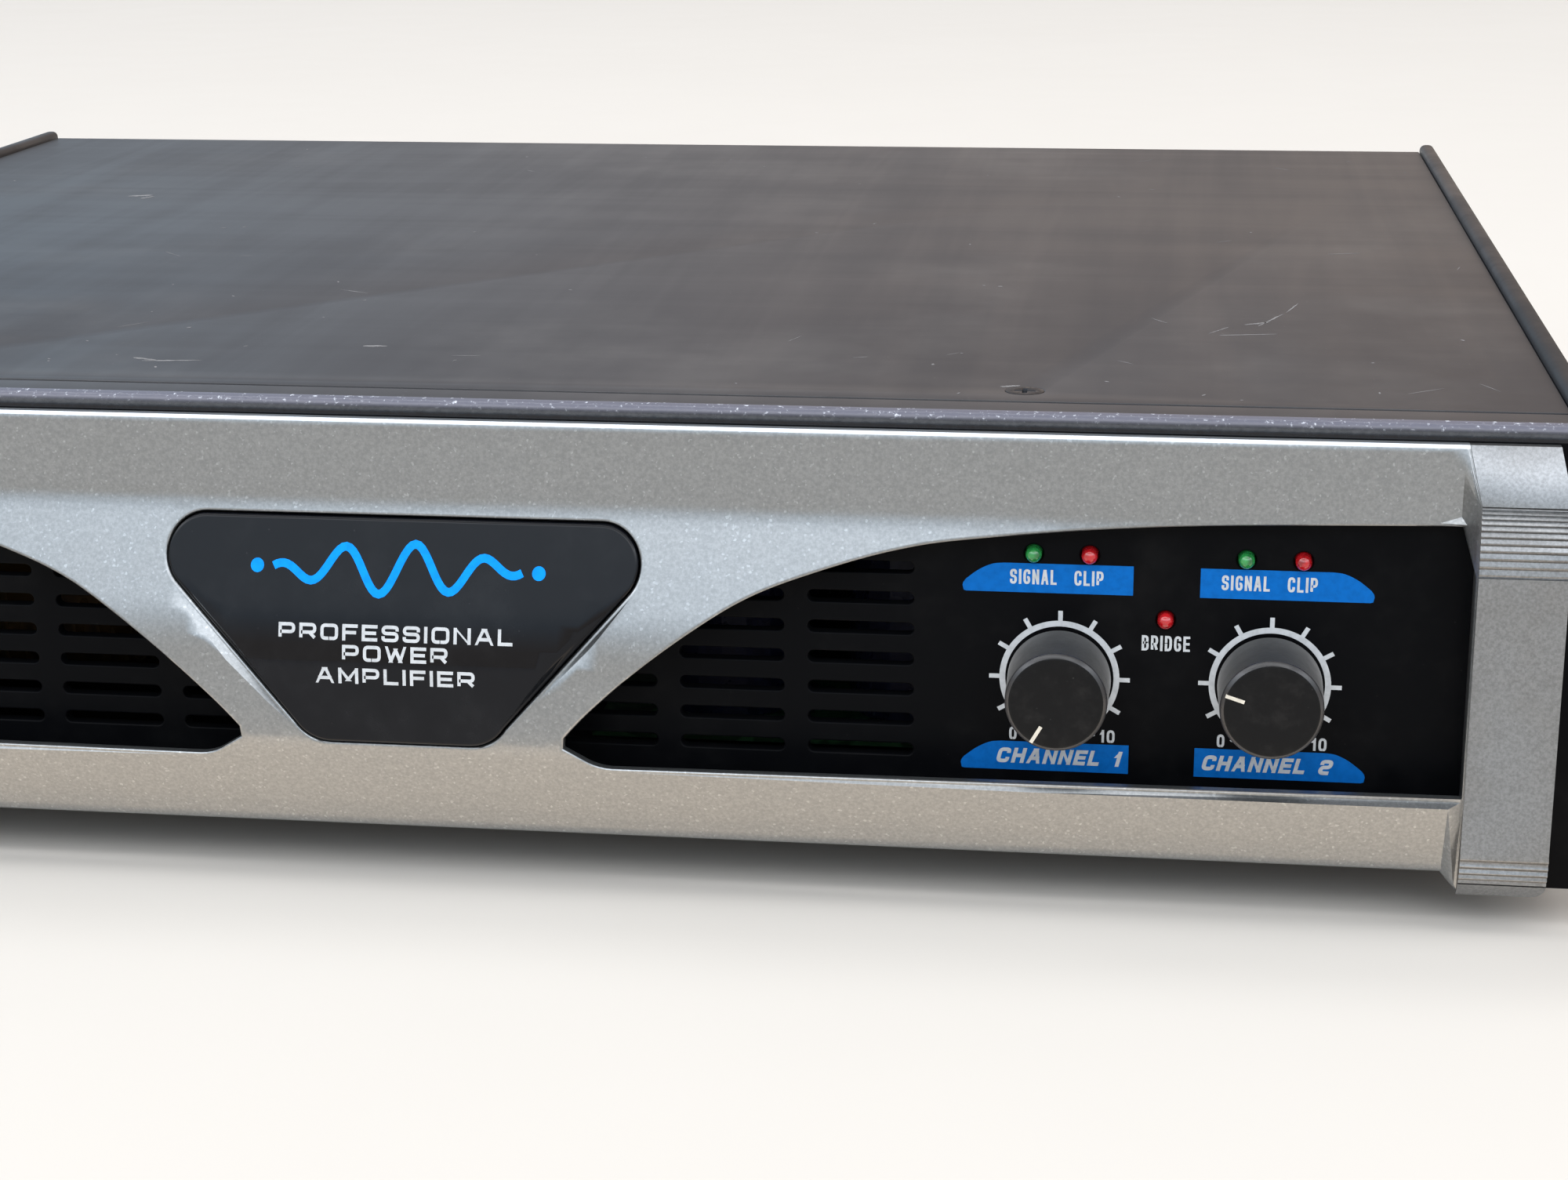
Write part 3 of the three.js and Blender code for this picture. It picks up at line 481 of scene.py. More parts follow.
def eased(a, b, c, d, t):
    """The smooth curve's value a share t of the way from b to c."""
    square = 2 * a - 5 * b + 4 * c - d
    cube = 3 * b - a - 3 * c + d
    return 0.5 * (2 * b + (c - a) * t + square * t * t + cube * t ** 3)


def spline(points, steps):
    """A smooth curve through the points."""
    found = []
    for i in range(len(points) - 1):
        p0, p1 = points[max(i - 1, 0)], points[i]
        p2, p3 = points[i + 1], points[min(i + 2, len(points) - 1)]
        for step in range(steps):
            found.append(tuple(eased(*values, step / steps) for values in zip(p0, p1, p2, p3)))
    return found + [points[-1]]


def area(loop):
    return sum(a[0] * b[1] - b[0] * a[1] for a, b in zip(loop, loop[1:] + loop[:1])) / 2


def cleaned(loop, closest=0.02):
    """The loop without points that lie on their neighbour."""
    return [p for p, q in zip(loop, loop[1:] + loop[:1]) if math.dist(p, q) > closest]


def inset(loop, distance):
    """The loop moved to its left by a distance."""
    moved = []
    for i, (x, z) in enumerate(loop):
        before, after = loop[i - 1], loop[(i + 1) % len(loop)]
        sides = []
        for a, b in ((before, (x, z)), ((x, z), after)):
            length = math.dist(a, b)
            sides.append((-(b[1] - a[1]) / length, (b[0] - a[0]) / length))
        (ax, az), (bx, bz) = sides
        scale = distance / max(1 + ax * bx + az * bz, 0.5)
        moved.append((x + (ax + bx) * scale, z + (az + bz) * scale))
    return moved


def inside(points, loop):
    """Which of the points (an array) lie inside the loop."""
    found = np.zeros(len(points), bool)
    px, pz = points[:, 0], points[:, 1]
    for (ax, az), (bx, bz) in zip(loop, loop[1:] + loop[:1]):
        if az == bz:
            continue
        crosses = (az > pz) != (bz > pz)
        found ^= crosses & (px < (bx - ax) * (pz - az) / (bz - az) + ax)
    return found


def triangulated(points, edges):
    """Points, triangles and the triangles' middles that keep to the edges, and where each point came from."""
    result = delaunay_2d_cdt([Vector(p) for p in points], edges, [], 0, 1e-5)
    flat = np.array([tuple(v) for v in result[0]])
    triangles = np.array([tuple(f) for f in result[2]])
    return flat, triangles, flat[triangles].mean(axis=1), result[3]


def thickened(triangles, count):
    """Front triangles, the same ones behind them (count points further on) and the walls between."""
    faces = [tuple(t) for t in triangles.tolist()]
    sides = dict.fromkeys(edge for a, b, c in faces for edge in ((a, b), (b, c), (c, a)))
    walls = [(a, b, b + count, a + count) for a, b in sides if (b, a) not in sides]
    return faces + [(c + count, b + count, a + count) for a, b, c in faces] + walls


def curved_plate(name, outer, holes, front, thickness, rim=0.0, grid=None, fade=None, lines=()):
    """A plate with rounded front edges. front(x, z) gives its face's y, and fade thins its rims."""
    outer = cleaned(outer if area(outer) > 0 else outer[::-1])
    holes = [cleaned(hole if area(hole) < 0 else hole[::-1]) for hole in holes]
    points, edges, drops = [], [], []

    def add_loop(loop, drop, closed=True):
        start = len(points)
        points.extend(loop)
        drops.extend([drop] * len(loop))
        count = len(loop)
        edges.extend((start + i, start + (i + 1) % count) for i in range(count if closed else count - 1))

    support = rim * 1.2
    turns = (0, 30, 60, 90) if rim else (0,)
    for loop in [outer, *holes]:
        for turn in turns:
            t = math.radians(turn)
            ring = inset(loop, rim * (1 - math.cos(t))) if turn else loop
            add_loop(ring, rim * (1 - math.sin(t)))
        if rim:
            add_loop(inset(loop, support), 0)
    for line in lines:
        add_loop(line, 0, closed=False)
    if grid:
        step_x, step_z = grid
        xs = np.arange(min(p[0] for p in outer), max(p[0] for p in outer), step_x)
        zs = np.arange(min(p[1] for p in outer), max(p[1] for p in outer), step_z)
        mesh_points = np.array([(x, z) for x in xs for z in zs])
        keep = inside(mesh_points, inset(outer, support + 0.5))
        for hole in holes:
            keep &= ~inside(mesh_points, inset(hole, support + 0.5))
        points.extend(map(tuple, mesh_points[keep]))
        drops.extend([0] * int(keep.sum()))

    flat, triangles, middles, origins = triangulated(points, edges)
    keep = inside(middles, outer)
    for hole in holes:
        keep &= ~inside(middles, hole)
    drop = np.array([max([drops[i] for i in ids], default=0) for ids in origins])
    if fade:
        drop *= np.array([fade(x, z) for x, z in flat])
    face = np.array([front(x, z) for x, z in flat])
    solid = [(x, y + d, z) for (x, z), y, d in zip(flat, face, drop)]
    solid += [(x, y + thickness, z) for (x, z), y in zip(flat, face)]
    return mesh_from(name, solid, thickened(triangles[keep], len(flat)))


# ---- the silver fascia and its badge
FASCIA_TOP, FASCIA_BOTTOM = fascia_high.z, fascia_low.z + 3.3
FASCIA_SIDE = fascia_high.x + 0.27
FACE_CORNERS = [
    (3.9, -3.75), (23.7, -12.9), (26.2, -13.1), (31.0, -13.2), (35.0, -13.0), (38.6, -12.75),
    (43.8, -11.8), (48.3, -10.6), (69.3, -2.7), (84.8, -2.6),
]


def face_line(z):
    """The fascia's face as straight runs between its corners."""
    for (z0, y0), (z1, y1) in zip(FACE_CORNERS, FACE_CORNERS[1:]):
        if z <= z1:
            return y0 + (y1 - y0) * (z - z0) / (z1 - z0)
    return FACE_CORNERS[-1][1]


def fascia_face(z):
    """The fascia's face with its creases softened, the upper one most."""
    width = 1.0 if z < 30 else 4.0
    if z > FASCIA_TOP - 3 or z < 5:
        return face_line(z)
    steps = 8
    return sum(face_line(z + width * (i / steps - 0.5)) for i in range(steps + 1)) / (steps + 1)


WEB_WIDTH = 3
WEB_START = FASCIA_SIDE - WEB_WIDTH
LEAN = 2.2
SHOULDER, HEAD_HEIGHT = 74.8, 10
RIBS_LOW, RIBS_HIGH = 8, 62
QUARTER_TURN = math.radians(90)


def column_front(z):
    """How far forward the end column stands, for the web that joins it."""
    if z > SHOULDER:
        return -2.2 - 4.8 * (SHOULDER + HEAD_HEIGHT - z) / HEAD_HEIGHT
    if z > RIBS_HIGH:
        return -7 - 1.5 * math.sin(QUARTER_TURN * (SHOULDER - z) / (SHOULDER - RIBS_HIGH))
    if z < RIBS_LOW:
        return -4.6 - 3.9 * math.sin(QUARTER_TURN * max(z, 0) / RIBS_LOW)
    return -8.5


def fascia_surface(x, z):
    start = WEB_START - LEAN * max(0.0, z - SHOULDER) / HEAD_HEIGHT
    share = min(max((abs(x) - start) / WEB_WIDTH, 0), 1) ** 1.2
    return fascia_face(z) * (1 - share) + column_front(z) * share


PLATE_GRID = (4.0, 1.6)
OPENING_LOW = 20.4
OPENING_TOP = [
    (31.6, 26.6), (36.6, 32), (45.5, 40), (56.3, 48), (66.4, 54), (78, 58.5), (93, 62.9),
    (108.6, 65.4), (144, 68.4), (194.9, 69.9),
]


def opening():
    side, low = FASCIA_SIDE + 0.02, OPENING_LOW
    return spline(OPENING_TOP, 8) + [
        (side, 62.2), (side, low), (43, low - 0.1),
        *arc(40.5, low + 8.9, 9, 268, 232, 5), (31.4, low + 4.1),
    ]


def badge_outline(clearance):
    right = arc(13.4, 32.3, 7.9 + clearance, -90, -32, 10) + arc(38.2, 58.9, 7.2 + clearance, -42, 90, 16)
    return right + mirrored(right)


def fascia():
    side = [
        (FASCIA_SIDE - 3.1, FASCIA_BOTTOM), (FASCIA_SIDE - 1.2, FASCIA_BOTTOM - 1.9),
        (FASCIA_SIDE, FASCIA_BOTTOM - 2.6), (FASCIA_SIDE, SHOULDER), (FASCIA_SIDE - LEAN, FASCIA_TOP),
    ]
    outline = side + mirrored(side)
    opening_right = [(min(x, FASCIA_SIDE - 0.4), z) for x, z in opening()]
    holes = [opening_right, mirrored(opening_right), badge_outline(0.35)]

    def away_from_columns(x, z):
        return 0.15 if abs(x) > WEB_START + 0.5 else 1.0

    mesh = curved_plate(
        "fascia_fine", outline, holes, fascia_surface, 1.9, 0.55, PLATE_GRID, away_from_columns
    )
    add_piece("fascia_fine", mesh, "silver_paint", stands_for=("fascia_moulding",))


def badge_face(x, z):
    return fascia_face(z) - 0.32


def badge():
    mesh = curved_plate("badge_fine", badge_outline(0), [], badge_face, 1.6, 0.45, PLATE_GRID)
    add_piece("badge_fine", mesh, "gloss_black", stands_for=("badge_plate",))


# ---- the front plate
VENT_ROWS = [22.51 + 5.97 * row for row in range(7)]
VENT_COLUMNS = [37.1 + 24.55 * column for column in range(3)]
LAMPS = ["signal_led_1", "clip_led_1", "bridge_led", "signal_led_2", "clip_led_2", "power_led"]
CROWN = 3.0
HALF_SLOT_X, HALF_SLOT_Z = 9.98, 1.15
LAMP_HOLE, SHAFT_HOLE = 1.75, 4.5
EAR_SLOT_X, EAR_SLOT_Z = 232.5, 38.1


def crowned(x, z):
    over = max(0.0, z - (plate_top - CROWN))
    return CROWN - math.sqrt(max(CROWN ** 2 - over ** 2, 0))


def front_plate():
    notch, ends = 3.2, fascia_high.x
    outline = rounded_box(0, plate_top / 2, HALF_WIDTH, plate_top / 2, 2.5)
    outline = outline[:21] + [(-ends, 0), (-ends, notch), (ends, notch), (ends, 0)] + outline[21:]
    holes = []
    for x in VENT_COLUMNS:
        for z in VENT_ROWS:
            slot = rounded_box(x, z, HALF_SLOT_X, HALF_SLOT_Z, 1.1, 4)
            holes += [slot, mirrored(slot)]
    for node in LAMPS:
        centre = middle_of(node)
        holes.append(arc(centre.x, centre.z, LAMP_HOLE, 0, 345, 23))
    for axis in knob_axes:
        holes.append(arc(axis.x, axis.z, SHAFT_HOLE, 0, 345, 23))
    switch = middle_of("power_switch_housing")
    holes.append(rounded_box(switch.x, switch.z, 6.9, 9.9, 0.6, 3))
    for side in (-1, 1):
        for level in (-1, 1):
            x, z = side * EAR_SLOT_X, plate_top / 2 + level * EAR_SLOT_Z
            holes.append(rounded_box(x, z, 5.2, 3.4, 3.3, 6))
    levels = [plate_top - CROWN + CROWN * math.sin(math.radians(a)) for a in (0, 15, 30, 45, 60, 70, 80)]
    lines = [[(-HALF_WIDTH + 3, z), (HALF_WIDTH - 3, z)] for z in levels]
    mesh = curved_plate("front_plate_fine", outline, holes, crowned, 2.6, 0.3, None, None, lines)
    for vertex in mesh.vertices:
        vertex.co.y = min(vertex.co.y, place(0, 2.9, 0).y)
    add_piece("front_plate_fine", mesh, "black_steel", "chassis", "plate", ("front_plate",))
    mesh.materials.append(MATERIALS["lip"])
    edge = height(plate_top - CROWN - 0.2)
    for polygon in mesh.polygons:
        if polygon.center.z > edge:
            polygon.material_index = 1


def prism_faces(count):
    """The faces between two like outlines: the two ends and the sides."""
    ends = [tuple(range(count)), tuple(range(2 * count - 1, count - 1, -1))]
    return ends + [(i, (i + 1) % count, (i + 1) % count + count, i + count) for i in range(count)]


def top_flange():
    """The front plate's upper flange, which runs back to the seam with the lid."""
    top = cover_high.z
    seam = cover_low.y - 0.9
    curve = [(seam - 0.6 + y, top - 0.6 + z) for y, z in arc(0, 0, 0.6, 90, 0, 5)]
    front = [(2.4, top - 5), (2.4, top - 1.2), (4.4, top - 0.1), (5.2, top)]
    profile = [*front, *curve, (seam, top - 1.4), (3, top - 1.4)]
    points = [(x, y, z) for x in (cover_low.x, cover_high.x) for y, z in profile]
    mesh = mesh_from("top_flange", points, prism_faces(len(profile)))
    add_piece("top_flange", mesh, "black_steel", "chassis", "cover_steel")


# ---- printed legends
INK_THICKNESS = 0.03
THIN, MEDIUM, BOLD = 0.46, 0.62, 0.72


def plate_front(x, z):
    return crowned(x, z) - INK_THICKNESS


def printed(name, loops, surface, material):
    """A print whose outline is everything that any of the loops covers."""
    points, edges = [], []
    for loop in loops:
        start, count = len(points), len(loop)
        points.extend(loop)
        edges.extend((start + i, start + (i + 1) % count) for i in range(count))
    flat, triangles, middles, _ = triangulated(points, edges)
    keep = np.zeros(len(middles), bool)
    for loop in loops:
        keep |= inside(middles, loop)
    solid = [(x, surface(x, z) + back, z) for back in (0, INK_THICKNESS) for x, z in flat]
    mesh = mesh_from(name, solid, thickened(triangles[keep], len(flat)))
    return add_piece(name, mesh, "matt_black", "chassis", material)


# Each letter: how its corners turn, its width as a share of a full one, and its strokes on a unit square.
LETTERS = {
    "A": ("none", 1.1, [[(0, 0), (0.42, 1), (0.58, 1), (1, 0)], [(0.17, 0.3), (0.83, 0.3)]]),
    "B": ("right", 1.0, [
        [(0, 0.52), (0.94, 0.52), (0.94, 1), (0, 1), (0, 0), (1, 0), (1, 0.52), (0.5, 0.52)],
    ]),
    "C": ("all", 1.0, [[(1, 0.68), (1, 1), (0, 1), (0, 0), (1, 0), (1, 0.32)]]),
    "D": ("right", 1.0, [[(0, 0.5), (0, 1), (1, 1), (1, 0), (0, 0), (0, 0.55)]]),
    "E": ("none", 0.9, [[(1, 1), (0, 1), (0, 0), (1, 0)], [(0, 0.5), (0.9, 0.5)]]),
    "F": ("none", 0.88, [[(1, 1), (0, 1), (0, 0)], [(0, 0.5), (0.88, 0.5)]]),
    "G": ("all", 1.0, [[(1, 0.72), (1, 1), (0, 1), (0, 0), (1, 0), (1, 0.46), (0.56, 0.46)]]),
    "H": ("none", 1.0, [[(0, 0), (0, 1)], [(1, 0), (1, 1)], [(0, 0.5), (1, 0.5)]]),
    "I": ("none", 0.0, [[(0.5, 0), (0.5, 1)]]),
    "L": ("none", 0.82, [[(0, 1), (0, 0), (1, 0)]]),
    "M": ("none", 1.2, [[(0, 0), (0, 1), (0.5, 0.2), (1, 1), (1, 0)]]),
    "N": ("none", 1.0, [[(0, 0), (0, 1), (1, 0), (1, 1)]]),
    "O": ("all", 1.05, [[(0.5, 0), (0, 0), (0, 1), (1, 1), (1, 0), (0.45, 0)]]),
    "P": ("right", 0.98, [[(0, 0), (0, 1), (1, 1), (1, 0.42), (0, 0.42)]]),
    "R": ("right", 1.0, [[(0, 0), (0, 1), (1, 1), (1, 0.42), (0, 0.42)], [(0.62, 0.42), (1, 0)]]),
    "S": ("all", 1.0, [[(1, 0.7), (1, 1), (0, 1), (0, 0.52), (1, 0.52), (1, 0), (0, 0), (0, 0.3)]]),
    "W": ("none", 1.3, [[(0, 1), (0.24, 0), (0.5, 0.85), (0.76, 0), (1, 1)]]),
    "0": ("all", 0.95, [[(0.5, 0), (0, 0), (0, 1), (1, 1), (1, 0), (0.45, 0)]]),
    "1": ("none", 0.35, [[(0, 0.76), (1, 1), (1, 0)]]),
    "2": ("all", 1.0, [[(0, 0.7), (0, 1), (1, 1), (1, 0.5), (0, 0.5), (0, 0), (1, 0)]]),
    " ": ("none", 0.5, []),
}


def bent(points, radius, corners_turn):
    """A stroke whose corners are rounded: all of them, those on the right, or none."""
    middle = (min(p[0] for p in points) + max(p[0] for p in points)) / 2
    found = [points[0]]
    for before, corner, after in zip(points, points[1:], points[2:]):
        if corners_turn == "none" or (corners_turn == "right" and corner[0] < middle):
            found.append(corner)
            continue
        ends = []
        for other in (before, after):
            length = math.dist(corner, other)
            reach = min(radius, length / 2) / length
            ends.append(tuple(c + (o - c) * reach for c, o in zip(corner, other)))
        for step in range(5):
            t = step / 4
            found.append(tuple(
                a * (1 - t) ** 2 + 2 * b * t * (1 - t) + c * t ** 2
                for a, b, c in zip(ends[0], corner, ends[1])
            ))
    found.append(points[-1])
    return [p for p, q in zip(found, found[1:]) if math.dist(p, q) > 1e-3] + [found[-1]]


def ribbon(line, half):
    """The outline of a stroke of even width along a line."""
    sides = []
    for a, b in zip(line, line[1:]):
        length = math.dist(a, b)
        sides.append((-(b[1] - a[1]) / length, (b[0] - a[0]) / length))
    upper, lower = [], []
    for point, before, after in zip(line, [sides[0], *sides], [*sides, sides[-1]]):
        scale = half / max(1 + before[0] * after[0] + before[1] * after[1], 0.45)
        offset = ((before[0] + after[0]) * scale, (before[1] + after[1]) * scale)
        upper.append((point[0] + offset[0], point[1] + offset[1]))
        lower.append((point[0] - offset[0], point[1] - offset[1]))
    return upper + lower[::-1]


def level_stroke(start, end, half, left, right):
    """A straight stroke: upright and slanting ones are cut level, and none leaves its letter's box."""
    (ax, az), (bx, bz) = sorted((start, end), key=lambda point: point[1])
    rise = bz - az
    if rise < half:
        low, high = min(ax, bx) - half, max(ax, bx) + half
        return [(low, az - half), (high, az - half), (high, az + half), (low, az + half)]
    across = half * math.hypot(bx - ax, rise) / rise
    more = half * (bx - ax) / rise
    loop = [
        (ax - more - across, az - half), (ax - more + across, az - half),
        (bx + more + across, bz + half), (bx + more - across, bz + half),
    ]
    return [(min(max(px, left - half), right + half), pz) for px, pz in loop]


def lettering(name, text, left, right, low, height, surface, stroke, spacing=0.35, slant=0.0, radius=0.3):
    """A word in plain square letters, fitted between left and right and lying on a surface y(x, z)."""
    shares = [LETTERS[letter][1] for letter in text]
    gaps = len(text) - 1
    room = right - left - slant * height - stroke * len(text)
    full = room / (sum(shares) + gaps * spacing)
    loops, x = [], left + stroke / 2
    for letter, share in zip(text, shares):
        turns, _, strokes = LETTERS[letter]
        width = full * share
        for points in strokes:
            line = [(x + a * width, low + stroke / 2 + b * (height - stroke)) for a, b in points]
            if turns == "none":
                made = [level_stroke(a, b, stroke / 2, x, x + width) for a, b in zip(line, line[1:])]
            else:
                made = [ribbon(bent(line, radius * height, turns), stroke / 2)]
            loops.extend([(a + slant * (b - low), b) for a, b in loop] for loop in made)
        x += width + stroke + full * spacing
    return printed(name, loops, surface, "white_ink")


def label_bar(low, high, x_end, x_point, inner):
    """A blue bar with one square end and one that curves down to a blunt point."""
    out = 1 if x_point > inner else -1
    points = [(inner, low), (x_end, low)]
    points += [(x_end + out * 0.5, low + 0.15), (x_point, low + 1.1), (x_point - out * 0.1, low + 1.6)]
    curve = spline([(x_point - out * 0.6, low + 2.3), (x_point - out * 2.9, low + 4.1),
                    (x_point - out * 5.4, high - 0.3), (x_point - out * 7.6, high)], 5)
    return points + curve + [(inner, high)]


def radial_bar(axis, degrees, inner, outer, half):
    """A bar that points away from an axis, from one radius to another."""
    along, across = heading(degrees)
    centre = Vector((axis.x, axis.z))
    box = [(inner, -1), (outer, -1), (outer, 1), (inner, 1)]
    return [tuple(centre + along * reach + across * side * half) for reach, side in box]


BARS = {"top": (54.3, 59.9), "low": (19.35, 25.0)}
BAR_INNER, BAR_OUTER = 6.1, 37.5
RING_INNER, RING_OUTER, TICK_OUTER = 10.05, 11.15, 13.07


def channel_legend(number, axis):
    """Two blue bars, and a dial with eleven ticks from seven o'clock round to five o'clock."""
    out = -1 if number == 1 else 1
    inner = control_middle + out * BAR_INNER
    point = control_middle + out * BAR_OUTER
    for part, (low, high) in BARS.items():
        bar = label_bar(low, high, point - out * 0.7, point, inner)
        printed(f"label_{part}_{number}", [bar], plate_front, "blue_ink")
    ring = arc(axis.x, axis.z, RING_OUTER, -62, 242, 72) + arc(axis.x, axis.z, RING_INNER, 242, -62, 72)
    ticks = [radial_bar(axis, 30 * tick - 60, 11.0, TICK_OUTER, 0.42) for tick in range(11)]
    printed(f"dial_{number}", [ring, *ticks], plate_front, "white_ink")


def over_bar(x, z):
    return plate_front(x, z) - 0.02


def legends():
    for number, axis in enumerate(knob_axes, 1):
        channel_legend(number, axis)
    words = [
        ("signal_1", "SIGNAL", 114.0, 122.6, 55.9, 2.85), ("clip_1", "CLIP", 125.85, 131.2, 55.9, 2.85),
        ("signal_2", "SIGNAL", 152.7, 161.4, 55.9, 2.85), ("clip_2", "CLIP", 164.6, 170.0, 55.9, 2.85),
        ("bridge", "BRIDGE", 138.5, 147.35, 43.8, 2.95),
        ("zero_1", "0", 114.3, 115.7, 25.4, 2.5), ("ten_1", "10", 131.2, 134.0, 25.4, 2.5),
        ("zero_2", "0", 152.9, 154.3, 25.4, 2.5), ("ten_2", "10", 170.2, 173.0, 25.4, 2.5),
    ]
    for name, text, left, right, low, height in words:
        lettering("print_" + name, text, left, right, low, height, over_bar, THIN, 0.45)
    for number, left, right in ((1, 111.8, 135.6), (2, 150.1, 174.6)):
        name, text = f"print_channel_{number}", f"CHANNEL {number}"
        lettering(name, text, left, right, 20.7, 3.0, over_bar, BOLD, 0.3, 0.25, 0.22)
    badge_words = [("PROFESSIONAL", 22.6, 44.2), ("POWER", 10.2, 40.4), ("AMPLIFIER", 15.4, 36.1)]
    for text, half, low in badge_words:
        left, right = -half - 0.4, half - 0.4
        lettering("print_" + text.lower(), text, left, right, low, 3.0, badge_print, MEDIUM, 0.3, 0, 0.22)


def badge_print(x, z):
    return badge_face(x, z) - 0.04


def rear_print(x, z):
    return rear_face - INK_THICKNESS


def rear_legends():
    """Labels on the rear panel, made facing the front and then turned round."""
    words = []
    for kind in ("input_socket", "speaker_socket"):
        for number in (1, 2):
            name = f"{kind}_{number}"
            start = 3 - corners(name)[0].x
            words.append((name, f"CHANNEL {number}", start, start + 14, middle_of(name).z - 1.3))
    middle = -middle_of("mode_switch_body").x
    words.append(("mode", "BRIDGE", middle - 5, middle + 5, corners("mode_switch_body")[0].z - 5.5))
    middle = -middle_of("mains_inlet").x
    words.append(("mains", "POWER", middle - 5, middle + 5, corners("mains_inlet")[1].z + 3))
    axis = place(0, rear_face, 0).y
    for name, text, left, right, base in words:
        piece = lettering("print_" + name, text, left, right, base, 2.6, rear_print, THIN, 0.4)
        for vertex in piece.data.vertices:
            vertex.co.x, vertex.co.y = -vertex.co.x, 2 * axis - vertex.co.y


def emblem():
    """A plain wave between two round dots, as a mark that stands for sound."""
    steps, half, level, middle = 72, 24.0, 57.2, 0.5
    centre = []
    for i in range(steps + 1):
        t = -1 + 2 * i / steps
        swing = 4.6 * math.cos(t * math.pi / 2) ** 0.8 * math.sin(t * math.pi * 3.5)
        centre.append((t * half - middle, level + swing))
    printed("emblem_wave", [ribbon(centre, 0.75)], badge_print, "blue_mark")
    for side in (-1, 1):
        dot = arc(side * (half + 3.2) - middle, level, 1.3, 0, 340, 17)
        printed(f"emblem_dot_{side + 2}", [dot], badge_print, "blue_mark")


# ---- knobs and lamps
def turned(name, profile, x, z, steps, slot, body, material=None, stands_for=()):
    """A profile of [radius, y] turned about an axis that runs from front to back."""
    points, faces, rings = [], [], []
    for radius, y in profile:
        if radius < 1e-6:
            rings.append([len(points)])
            points.append((x, y, z))
            continue
        rings.append(list(range(len(points), len(points) + steps)))
        for step in range(steps):
            t = 2 * math.pi * step / steps
            points.append((x + radius * math.cos(t), y, z + radius * math.sin(t)))
    for a, b in zip(rings, rings[1:]):
        for step in range(steps):
            following = (step + 1) % steps
            corner = [a[step % len(a)], a[following % len(a)], b[following % len(b)], b[step % len(b)]]
            faces.append(tuple(dict.fromkeys(corner)))
    return add_piece(name, mesh_from(name, points, faces), slot, body, material, stands_for)


def knob(number, axis, pointer_turn):
    low, high = corners(f"knob_{number}")
    radius = (high.x - low.x) / 2
    face, base = low.y, high.y
    dish = [(0, face + 0.12), (radius * 0.55, face + 0.1), (radius - 1.35, face + 0.02)]
    chamfer = [
        (radius - 1.15, face + 0.06), (radius - 1.0, face + 0.16), (radius - 0.45, face + 0.7),
        (radius - 0.33, face + 0.86), (radius - 0.27, face + 1.1),
    ]
    skirt = [(radius, base - 0.2), (radius - 0.2, base), (radius - 1.6, base)]
    hollow = [(radius - 2, -4.4), (3.3, -4.4), (3.3, -11.2), (0, -11.2)]
    profile = dish + chamfer + skirt + hollow
    body = f"gain_{number}"
    cap = turned(
        f"knob_{number}_fine", profile, axis.x, axis.z, 72, "matt_black", body, "knob", (f"knob_{number}",)
    )
    cap.data.materials.append(MATERIALS["knob_rim"])
    rim_low, rim_high = (place(0, y, 0).y for y in (face + 0.2, face + 1.0))
    for polygon in cap.data.polygons:
        if rim_low < polygon.center.y < rim_high:
            polygon.material_index = 1
    outline = radial_bar(axis, 90 - pointer_turn, 5.2, 8.75, 0.33)
    mesh = curved_plate(f"knob_{number}_pointer", outline, [], lambda x, z: face, 0.2)
    add_piece(f"knob_{number}_pointer", mesh, "matt_black", body, "cream")


def lamp(node):
    low, high = corners(node)
    x, z = (low.x + high.x) / 2, (low.z + high.z) / 2
    radius, flange = 1.5, 1.9
    dome = []
    for degrees in range(0, 91, 10):
        turn = math.radians(degrees)
        dome.append((radius * math.sin(turn), low.y + radius * (1 - math.cos(turn))))
    profile = [*dome, (radius, high.y - 1.2), (flange, high.y - 1.2), (flange, high.y), (0, high.y)]
    turned(node + "_fine", profile, x, z, 32, slot_of[node], "chassis", None, (node,))


# ---- cover wear
def scrape(x, y, length, width, turn, steps):
    """The corners and faces of a thin ragged patch on the cover where the paint is rubbed."""
    along, across = heading(turn)
    upper, lower = [], []
    for i in range(steps + 1):
        t = -1 + 2 * i / steps
        reach = width / 2 * math.sqrt(max(1 - t * t, 0.02))
        middle = Vector((x, y)) + along * t * length / 2
        upper.append(middle + across * reach * random.uniform(0.3, 1))
        lower.append(middle - across * reach * random.uniform(0.3, 1))
    loop = upper + lower[::-1]
    points = [(p.x, p.y, cover_high.z + rise) for rise in (0.0, INK_THICKNESS) for p in loop]
    return points, prism_faces(len(loop))


def cover_marks(name, marks, steps=14):
    """One piece that holds all the given scrapes: place, length, width and turn of each."""
    points, faces = [], []
    for mark in marks:
        more_points, more_faces = scrape(*mark, steps)
        faces.extend(tuple(i + len(points) for i in face) for face in more_faces)
        points.extend(more_points)
    add_piece(name, mesh_from(name, points, faces), "cover_steel", "chassis", "scuff")


def grit(count):
    """Specks and hairlines strewn over the lid, more of them towards its front."""
    found = []
    for number in range(count):
        x = random.uniform(cover_low.x + 6, cover_high.x - 6)
        y = cover_low.y + 4 + (cover_high.y - cover_low.y - 12) * random.random() ** 1.6
        hairline = number % 4 == 0
        length = random.uniform(3, 9) if hairline else random.uniform(0.5, 1.6)
        width = 0.25 if hairline else random.uniform(0.4, 0.8)
        found.append((x, y, length, width, random.uniform(0, 180)))
    return found


